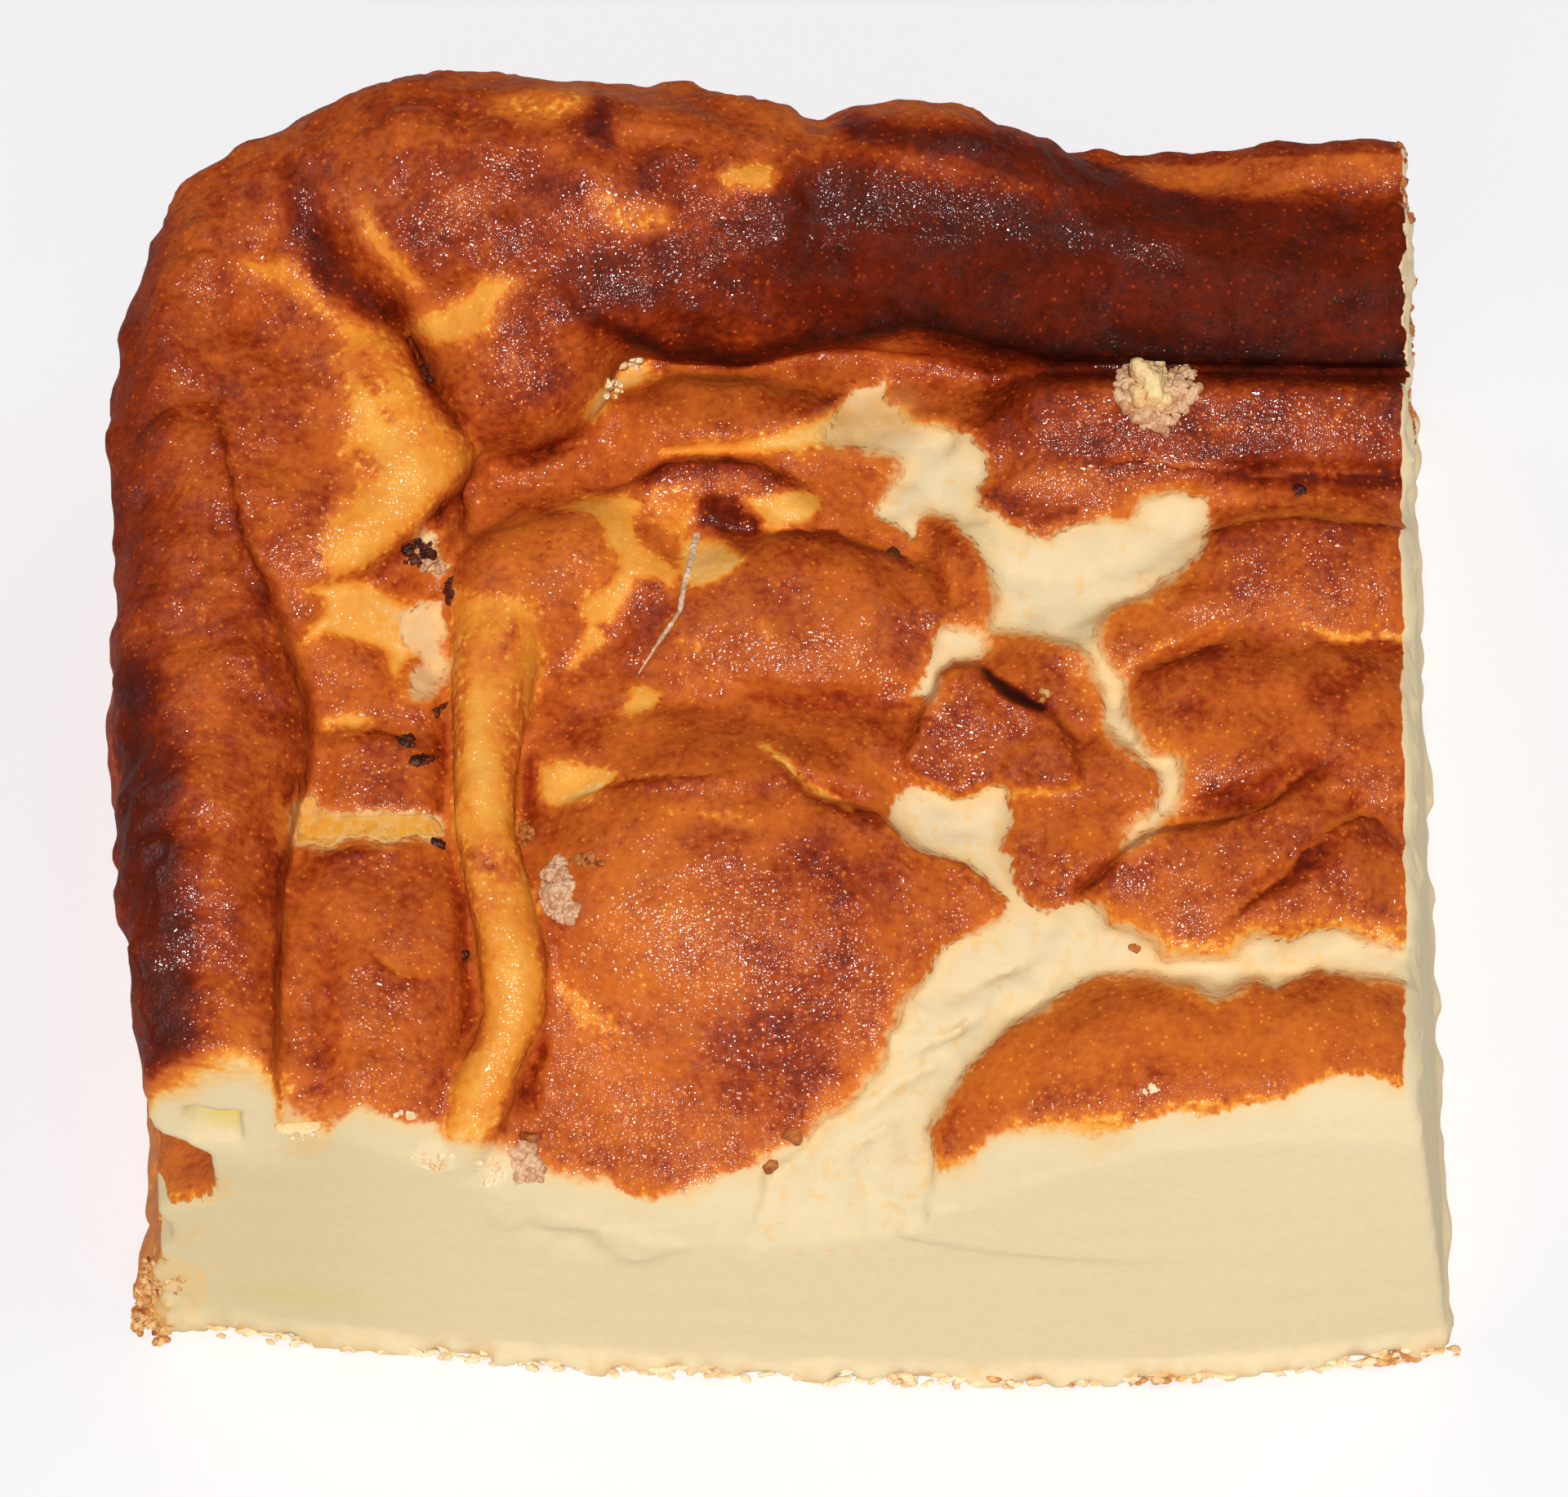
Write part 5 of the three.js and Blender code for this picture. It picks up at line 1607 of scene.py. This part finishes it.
        # Deep in the recess the yellow-green is partly translucent custard and partly painted shade.
        deep = self.pocket_shade * (0.4 + 0.5 * smoothstep(-39.6, -37.2, x))
        gold = self.form.marks.golden(self.u, self.v) - np.maximum(deep, np.where(skin < 0.0, curd, 0.0))
        foot = 0.3 * smoothstep(1.8, 0.6, z) * smoothstep(-0.1, 0.4, self.ragged)
        gold += np.where(skin < 0.0, foot, 0.0)
        on_wall = self.wall & (self.behind > self.wall_gold_behind + self.reach)
        gold = np.where(on_wall, 0.75 * smoothstep(20.0, 0.0, z), gold)
        return np.where(self.corner, 0.55 + 0.7 * self.ragged, gold)

    def numbers(self) -> dict[str, Array]:
        """All the numbers by name.

        Returns:
            The values of each number.
        """
        skin = self.skin()
        return {"skin": skin, "bake_and_shade": self.bake_and_shade(), "gloss": self.gloss(), "crust": self.crust(),
                "tone": self.tone(), "gold": self.gold(skin), "soft": self.soft()}


def new_object(name: str, data: bpy.types.ID) -> bpy.types.Object:
    """A new object in the scene.

    Args:
        name: Name of the object.
        data: Its mesh, light or camera.

    Returns:
        The object.
    """
    made = bpy.data.objects.new(name, data)
    bpy.context.scene.collection.objects.link(made)
    return made


def read_vectors(mesh: bpy.types.Mesh, name: str) -> Array:
    """A vector of each vertex, one row each.

    Args:
        mesh: The mesh.
        name: Which vector, co or normal.

    Returns:
        The vectors.
    """
    values = np.empty(len(mesh.vertices) * 3, dtype=np.float32)
    mesh.vertices.foreach_get(name, values)
    return values.reshape(-1, 3)


def keep_number(mesh: bpy.types.Mesh, name: str, values: Array) -> None:
    """Keeps a number on each vertex for the finish."""
    kept = mesh.attributes.new(name, "FLOAT", "POINT")
    kept.data.foreach_set("value", values.astype(np.float32))


@dataclass
class Portion:
    """The cake itself, which stands for its solid."""

    form: CakeForm
    offset: Vector
    node: str = "custard_cake"
    slot: str = "baked_custard"
    most_triangles: int = 185000
    sharp_angle: float = 55.0
    surface: BVHTree | None = None

    def build(self) -> bpy.types.Object:
        """Makes the mesh, thins it, keeps its numbers and dresses it.

        Returns:
            The finished piece.
        """
        points, quads = self.form.mesh_arrays()
        mesh = bpy.data.meshes.new("far_portion")
        mesh.from_pydata(points, [], quads.tolist())
        piece = new_object("far_portion", mesh)
        self.thin(piece)
        self.keep_numbers(piece.data)
        corners = [tuple(face.vertices) for face in piece.data.polygons]
        self.surface = BVHTree.FromPolygons([v.co.copy() for v in piece.data.vertices], corners)
        self.place(piece.data)
        piece.data.materials.append(BakedFinish().material())
        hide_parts(self.node)
        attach(piece, "root")
        return piece

    def thin(self, piece: bpy.types.Object) -> None:
        """Merges faces where the surface is flat, until the triangles are few enough.

        Args:
            piece: The piece whose mesh is thinned.
        """
        modifier = piece.modifiers.new("thin", "DECIMATE")
        modifier.ratio = min(1.0, self.most_triangles / (2 * len(piece.data.polygons)))
        evaluated = piece.evaluated_get(bpy.context.evaluated_depsgraph_get())
        mesh = bpy.data.meshes.new_from_object(evaluated)
        piece.modifiers.clear()
        piece.data = mesh
        mesh.shade_smooth()
        mesh.set_sharp_from_angle(angle=math.radians(self.sharp_angle))

    def keep_numbers(self, mesh: bpy.types.Mesh) -> None:
        """Keeps the finish's numbers on the vertices of a mesh in the form's own millimetres.

        Args:
            mesh: The mesh, not yet moved into the frame.
        """
        paint = SkinPaint(self.form, read_vectors(mesh, "co"), read_vectors(mesh, "normal"))
        for name, values in paint.numbers().items():
            keep_number(mesh, name, values)

    def place(self, mesh: bpy.types.Mesh) -> None:
        """Moves the mesh into the frame, in metres.

        Args:
            mesh: The mesh in the form's own millimetres.
        """
        moved = (read_vectors(mesh, "co") + np.array(self.offset, dtype=np.float32)) * MM
        mesh.vertices.foreach_set("co", moved.ravel())
        mesh.update()


class CrumbKind(Enum):
    """Kinds of crumb, by how they were baked, with their light and dark shades."""

    PALE = ((242, 208, 150), (222, 172, 112))
    TORN = ((244, 222, 178), (230, 192, 142))
    GREY = ((220, 178, 138), (194, 138, 98))
    GOLDEN = ((232, 186, 122), (200, 132, 66))
    BROWN = ((186, 108, 48), (140, 66, 22))
    BURNT = ((88, 34, 14), (44, 15, 8))
    FILM = ((214, 188, 156), (186, 152, 118))


@dataclass(frozen=True)
class CrumbFinish:
    """Dry crumb in two shades, lighter towards the top of each lump as painted light."""

    light: Colour
    dark: Colour

    def material(self, name: str) -> bpy.types.Material:
        """Builds the node material.

        Args:
            name: Name of the material.

        Returns:
            The finished material.
        """
        graph = ShaderGraph(name)
        grain = graph.noise(graph.millimetres(), 2.4, 3.0)
        share = graph.step(graph.math("ADD", graph.attribute("tone_and_top_light"), grain), 0.3, 1.3)
        return graph.dress({
            "Base Color": graph.mix(share, linear(*self.dark), linear(*self.light)),
            "Roughness": 0.4,
            "Specular IOR Level": 0.3,
            "Normal": graph.bump(grain, 0.25),
        })


@dataclass(frozen=True)
class Lump:
    """One crumb: where its middle is, its half sizes and its turn about the upright."""

    at: Triple
    half: Triple
    turn: float = 0.0


@dataclass
class CrumbGroup:
    """Crumbs of one kind, made as one rough mesh."""

    name: str
    kind: CrumbKind
    lumps: list[Lump]
    offset: Vector
    seed: int
    subdivisions: int = 3

    def build(self) -> bpy.types.Object:
        """Makes the mesh of all the lumps and dresses it.

        Returns:
            The finished piece.
        """
        ball, faces = self.ball()
        lattice = Lattice(self.seed)
        places = []
        corners = []
        hearts = []
        for number, lump in enumerate(self.lumps):
            corners.append(faces + number * len(ball))
            places.append(self.shape(ball, lump, lattice))
            own = float(lattice.values[number % lattice.cells, 7, 3])
            patchy = lattice.fractal(places[-1] + 5.0, 0.7, 2)
            # Each lump's own random tone and patchy noise, and lighter towards its top as painted light.
            hearts.append(0.3 + 0.7 * own + 0.25 * ball[:, 2] + 0.7 * patchy)
        mesh = bpy.data.meshes.new(self.name)
        mesh.from_pydata((np.vstack(places) + np.array(self.offset)) * MM, [], np.vstack(corners).tolist())
        mesh.shade_smooth()
        keep_number(mesh, "tone_and_top_light", np.concatenate(hearts))
        mesh.materials.append(CrumbFinish(*self.kind.value).material(self.name))
        piece = new_object(self.name, mesh)
        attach(piece, "root")
        return piece

    def ball(self) -> tuple[Array, Array]:
        """Vertices and faces of a round ball of radius 1.

        Returns:
            Rows of places and rows of vertex numbers.
        """
        shape = bmesh.new()
        bmesh.ops.create_icosphere(shape, subdivisions=self.subdivisions, radius=1.0)
        places = np.array([v.co[:] for v in shape.verts])
        faces = np.array([[v.index for v in f.verts] for f in shape.faces])
        shape.free()
        return places, faces

    @staticmethod
    def shape(ball: Array, lump: Lump, lattice: Lattice) -> Array:
        """Vertices of one lump, roughened by noise.

        Args:
            ball: Vertices of a round ball.
            lump: The lump to make.
            lattice: Noise that roughens it.

        Returns:
            Places in millimetres.
        """
        sized = ball * np.array(lump.half)
        middle = np.array(lump.at)
        rough = 0.5 * lattice.fractal(sized + middle * 3.1, max(lump.half) * 0.9, 4)
        sized = sized * (1.0 + rough)[:, None]
        cos, sin = math.cos(math.radians(lump.turn)), math.sin(math.radians(lump.turn))
        turned = sized.copy()
        turned[:, 0] = sized[:, 0] * cos - sized[:, 1] * sin
        turned[:, 1] = sized[:, 0] * sin + sized[:, 1] * cos
        return turned + middle


@dataclass
class CrumbScatter:
    """All the loose and clinging crumbs of the portion."""

    form: CakeForm
    offset: Vector
    surface: BVHTree
    foot_end: float = 45.6

    def front_at(self, x: float, z: float) -> float:
        """Y of the front cut at one place."""
        return float(self.form.front_cut(np.array(x), np.array(z)))

    def on_top(self, u: float, v: float, half: Triple, turn: float = 0.0, sink: float = 0.2) -> Lump:
        """A lump that lies on the surface at a layout place.

        Args:
            u: Place along X on the layout level.
            v: Place along Y on the layout level.
            half: Half sizes of the lump.
            turn: Turn about the upright, in degrees.
            sink: How far its middle lies under the surface, as a share of its half height.

        Returns:
            The lump.
        """
        eye = Vector(self.form.layout_eye)
        hit = self.surface.ray_cast(eye, (Vector((u, v, self.form.layout_level)) - eye).normalized())[0]
        middle = hit + Vector((0.0, 0.0, half[2] * (0.4 - sink)))
        return Lump(tuple(middle), half, turn)

    def groups(self) -> list[CrumbGroup]:
        """All the groups, each with its lumps in place.

        Returns:
            The groups.
        """
        return [CrumbGroup(name, kind, lumps, self.offset, seed) for name, kind, lumps, seed in (
            ("pale_crumb", CrumbKind.PALE, self.pale(), 21),
            ("torn_bits", CrumbKind.TORN, self.torn(), 27),
            ("foot_flakes", CrumbKind.TORN, self.foot(), 28),
            ("grey_crumbs", CrumbKind.GREY, self.grey(), 22),
            ("burnt_specks", CrumbKind.BURNT, self.burnt(), 23),
            ("brown_crumbs", CrumbKind.BROWN, self.brown(), 24),
            ("golden_crumbs", CrumbKind.GOLDEN, self.golden(), 25),
            ("film_strand", CrumbKind.FILM, self.strand(), 26),
        )]

    def pale(self) -> list[Lump]:
        """The pale crumb at the back right and a flake on the front edge.

        Returns:
            The lumps.
        """
        rows = (
            (24.9, 20.8, (1.3, 2.0, 1.3), 8.0, -0.2), (25.8, 19.2, (0.8, 1.2, 0.9), -20.0, 0.2),
            (24.2, 19.6, (0.7, 1.2, 0.9), 30.0, 0.2), (-31.8, -36.4, (1.5, 0.7, 0.2), 8.0, 0.4))
        grains = ((25.0, 20.3, (1.6, 2.3), 60),)
        lumps = [self.on_top(*row) for row in rows]
        return lumps + self.heaps(np.random.default_rng(3), grains, (0.15, 0.5), 0.9)

    def torn(self) -> list[Lump]:
        """Torn custard in the crease of the back roll and along the front edge of the skin.

        Returns:
            The lumps.
        """
        rows = (
            (-12, 20.4, (0.8, 0.9), 14), (-10.6, 22.6, (0.9, 0.5), 14), (-23.2, -38.9, (1.4, 0.8), 12),
            (-19.4, -39.6, (1.2, 1.2), 16), (-31.6, -37.2, (1.5, 0.3), 8), (-24.8, -35.6, (1.2, 0.3), 5),
            (23.6, -33.6, (0.4, 0.4), 4))
        return self.heaps(np.random.default_rng(8), rows, (0.1, 0.36), 0.1, 0.5)

    def foot(self) -> list[Lump]:
        """Thin flakes of custard along the foot of the front cut.

        Returns:
            The lumps.
        """
        draw = np.random.default_rng(9)
        lumps = []
        for x in draw.uniform(-40.0, 45.0, 220):
            z = draw.uniform(0.1, 0.8)
            y = self.front_at(x, z) - draw.uniform(0.2, 0.9)
            half = (draw.uniform(0.2, 0.7), draw.uniform(0.12, 0.3), draw.uniform(0.08, 0.14))
            lumps.append(Lump((x, y, z), half, draw.uniform(-30.0, 30.0)))
        return lumps

    def heaps(self, draw: np.random.Generator, rows: tuple[tuple, ...], sizes: Pair, rise: float,
              sink: float = 0.2) -> list[Lump]:
        """Small lumps that lie together as crumbs.

        Args:
            draw: Source of the random sizes and places.
            rows: X and Y of each crumb on the layout level, how far it spreads and how many lumps it has.
            sizes: Smallest and largest half size of a lump.
            rise: Height of a crumb over the surface.
            sink: How far each lump is sunk, as a share of its half height.

        Returns:
            The lumps.
        """
        lumps = []
        for at_u, at_v, spread, count in rows:
            for _ in range(count):
                angle, out = draw.uniform(0.0, math.tau), math.sqrt(draw.uniform())
                size = draw.uniform(*sizes)
                half = (size, size * draw.uniform(0.6, 1.0), size * draw.uniform(0.5, 0.8))
                u, v = at_u + spread[0] * out * math.cos(angle), at_v + spread[1] * out * math.sin(angle)
                lump = self.on_top(u, v, half, draw.uniform(0.0, 180.0), sink)
                height = lump.at[2] + rise * (1.0 - out * out) * draw.uniform(0.2, 1.0)
                lumps.append(Lump((lump.at[0], lump.at[1], height), half, lump.turn))
        return lumps

    def grey(self) -> list[Lump]:
        """The cluster beside the narrow ridge and the halo of the pale crumb.

        Returns:
            The lumps.
        """
        draw = np.random.default_rng(4)
        rows = (
            (26.9, 20.6, (1.3, 1.8), 60), (23.5, 20.4, (0.8, 1.7), 36), (25.2, 18.2, (1.5, 1.0), 40),
            (24.9, 22.4, (1.0, 0.5), 14), (-16.9, -39.4, (1.0, 1.5), 30), (-24.2, 6.4, (0.8, 0.5), 6),
            (-17, -38.6, (0.8, 1.4), 12))
        lumps = self.heaps(draw, ((-15.4, -18.8, (0.9, 2.2), 110),), (0.15, 0.5), 0.9)
        lumps += self.heaps(draw, ((-14.8, -20.6, (0.8, 0.8), 30),), (0.15, 0.45), 0.6)
        return lumps + self.heaps(draw, rows, (0.2, 0.55), 0.45)

    def strand(self) -> list[Lump]:
        """The dried strand across the dome beside the ridge, wider at its top.

        Returns:
            The lumps.
        """
        path = np.array(self.form.marks.strand)
        lumps = []
        for share in np.linspace(0.0, len(path) - 1.0, 30):
            first = min(int(share), len(path) - 2)
            step = path[first + 1] - path[first]
            u, v = path[first] + step * (share - first)
            turn = -math.degrees(math.atan2(step[0], step[1])) + 180.0
            lumps.append(self.on_top(u, v, (0.27 - 0.05 * share, 0.5, 0.1), turn, 0.3))
        return lumps

    def burnt(self) -> list[Lump]:
        """Burnt specks stuck to the skin.

        Returns:
            The lumps.
        """
        rows = (
            (-24.8, 22, (0.4, 0.7), 7), (-25, 7.4, (1.3, 1.0), 22), (-22.8, 4.6, (0.4, 1.1), 10),
            (-25.6, -7.4, (0.4, 0.3), 5), (-24.7, -8.8, (0.8, 0.3), 6), (-23.4, -5, (0.5, 0.5), 5),
            (7.5, 7.2, (0.4, 0.2), 3), (35, 12.2, (0.3, 0.6), 6), (-23.1, -15.3, (0.4, 0.2), 4),
            (-21.4, -23.8, (0.2, 0.3), 3))
        return self.heaps(np.random.default_rng(7), rows, (0.15, 0.5), 0.0, 0.8)

    def brown(self) -> list[Lump]:
        """Brown crumbs on the skin, on the right cut and at the left end of the foot.

        Returns:
            The lumps.
        """
        rows = (
            (0.3, -37.2, (0.7, 0.6, 0.4)), (-1.2, -39.4, (0.5, 0.4, 0.3)), (23, -23.2, (0.35, 0.35, 0.25)),
            (-16.8, -37.4, (0.4, 0.8, 0.5)))
        lumps = [self.on_top(u, v, half, 31.0 * i) for i, (u, v, half) in enumerate(rows)]
        draw = np.random.default_rng(5)
        lumps += self.heaps(draw, ((-13.3, -16.6, (1.1, 0.5), 14),), (0.15, 0.45), 0.3)
        lumps += self.heaps(draw, ((-17.3, -14.4, (0.5, 1.1), 14),), (0.15, 0.4), 0.2, 0.4)
        for y, z, count in ((34.5, 33.5, 34), (27.4, 27.4, 40), (20.5, 27.5, 30)):
            lumps += self.cling(draw, count, y, z)
        return lumps + self.corner(draw, 20)

    def corner(self, draw: np.random.Generator, count: int) -> list[Lump]:
        """Crumbs of the crust at the left end of the foot.

        Args:
            draw: Source of the random sizes and places.
            count: How many crumbs.

        Returns:
            The lumps.
        """
        lumps = []
        for _ in range(count):
            up = 6.0 * draw.uniform() ** 1.8
            x = draw.uniform(-43.8, -41.0) - 0.16 * (6.0 - up)
            size = draw.uniform(0.12, 0.4)
            y = self.front_at(x, up)
            y += draw.uniform(0.0, 0.8) - 2.0 * draw.uniform() * max(1.0 - up / 2.0, 0.0)
            half = (size, size * draw.uniform(0.6, 1.0), size * draw.uniform(0.5, 0.9))
            lumps.append(Lump((x, y, max(up, size * 0.7)), half, draw.uniform(0.0, 180.0)))
        return lumps

    def cling(self, draw: np.random.Generator, count: int, y: float, z: float) -> list[Lump]:
        """Crumbs that cling to the right cut around one place.

        Args:
            draw: Source of the random sizes and places.
            count: How many crumbs.
            y: Middle of the place along Y.
            z: Middle of the place along Z.

        Returns:
            The lumps.
        """
        lumps = []
        for _ in range(count):
            at_y, at_z = y + draw.normal(0.0, 1.6), z + draw.normal(0.0, 0.7)
            size = draw.uniform(0.15, 0.5) * draw.uniform(0.6, 1.0)
            turn = draw.uniform(0.0, 180.0)
            x = float(self.form.right_cut(np.array(at_y), np.array(at_z)))
            hit = self.surface.ray_cast(Vector((x + 2.0, at_y, at_z)), Vector((-1.0, 0.0, 0.0)), 3.0)[0]
            if hit is not None:
                lumps.append(Lump((hit.x - 0.2 * size, at_y, at_z), (size * 0.8, size, size * 0.8), turn))
        return lumps

    def golden(self) -> list[Lump]:
        """Golden crumbs along the foot of the front cut and a tiny one by the flake.

        Returns:
            The lumps.
        """
        lumps = [self.on_top(17.4, -3.7, (0.4, 0.4, 0.35)), self.on_top(17.1, -4.3, (0.3, 0.3, 0.25))]
        draw = np.random.default_rng(6)
        lumps += self.corner(draw, 260)
        for x in np.repeat(draw.uniform(14.0, 45.0, 7), 11) + draw.normal(0.0, 1.5, 77):
            size = draw.uniform(0.08, 0.28)
            z = draw.uniform(0.6, 2.6) * size
            y = self.front_at(x, z) - draw.uniform(0.2, 0.9)
            half = (size * 2.0, size, size * 0.5)
            lumps.append(Lump((min(x, self.foot_end), y, z), half, draw.uniform(-30.0, 30.0)))
        return lumps


@dataclass
class Studio:
    """Floor, lights and camera."""

    offset: Vector
    target: Triple = (-0.2508, 0.0, 16.183)
    elevation: float = 60.0
    distance: float = 600.0
    lens: float = 200.11
    sensor: float = 36.0
    ground: Colour = (236, 236, 238)
    floor_half: float = 3.0
    surround: float = 0.17

    def build(self) -> None:
        """Sets up the whole studio."""
        self.lay_floor()
        self.set_camera()
        self.hang_lights()
        bpy.context.scene.view_settings.view_transform = "Standard"

    def lay_floor(self) -> None:
        """Lays a wide pale floor."""
        mesh = bpy.data.meshes.new("floor")
        half = self.floor_half
        corners = [(-half, -half, 0), (half, -half, 0), (half, half, 0), (-half, half, 0)]
        mesh.from_pydata(corners, [], [(0, 1, 2, 3)])
        floor = new_object("floor", mesh)
        plain = {"Base Color": linear(*self.ground), "Roughness": 0.8}
        mesh.materials.append(ShaderGraph("pale_floor").dress(plain))

    def set_camera(self) -> None:
        """Puts the camera where the photograph was taken from."""
        data = bpy.data.cameras.new("camera")
        data.lens = self.lens
        data.sensor_width = self.sensor
        camera = new_object("camera", data)
        tilt = math.radians(self.elevation)
        target = Vector(self.target) + self.offset
        back = Vector((0.0, -math.cos(tilt), math.sin(tilt)))
        camera.location = (target + back * self.distance) * MM
        camera.rotation_euler = (math.pi / 2 - tilt, 0.0, 0.0)
        bpy.context.scene.camera = camera

    def hang_lights(self) -> None:
        """Hangs a small key near the camera, wide soft fills and a pale surround."""
        self.hang("key", (0.0, -1.17, 2.13), 0.0825, 54.7)
        self.hang("front", (0.0, -0.9, 0.7), 0.8, 0.4)
        self.hang("left", (-0.9, 0.4, 0.7), 0.8, 1.2)
        self.hang("right", (0.9, 0.4, 0.7), 0.8, 1.2)
        world = bpy.data.worlds.new("surround")
        world.use_nodes = True
        background = world.node_tree.nodes["Background"]
        background.inputs["Color"].default_value = (1.0, 1.0, 1.0, 1.0)
        background.inputs["Strength"].default_value = self.surround
        bpy.context.scene.world = world

    @staticmethod
    def hang(name: str, place: Triple, size: float, watts: float) -> None:
        """Hangs a square light that faces the portion.

        Args:
            name: Name of the light.
            place: Where it hangs, in metres.
            size: Side of the square in metres.
            watts: Its power.
        """
        data = bpy.data.lights.new(name, "AREA")
        data.size = size
        data.energy = watts
        light = new_object(name, data)
        light.location = place
        light.rotation_euler = (-Vector(place)).to_track_quat("-Z", "Y").to_euler()


def main() -> None:
    """Builds the portion and the studio, and notes the sizes."""
    logging.basicConfig(level=logging.INFO, format="%(message)s")
    form = CakeForm()
    low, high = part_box("custard_cake")
    offset = Vector((high[0] / MM - form.right_foot, low[1] / MM - form.front_foot, 0.0))
    Studio(offset).build()
    portion = Portion(form, offset)
    pieces = [portion.build()]
    pieces += [group.build() for group in CrumbScatter(form, offset, portion.surface).groups()]
    for piece in pieces:
        LOG.info("%s: %d triangles", piece.name, sum(len(p.vertices) - 2 for p in piece.data.polygons))


if __name__ == "__main__":
    main()
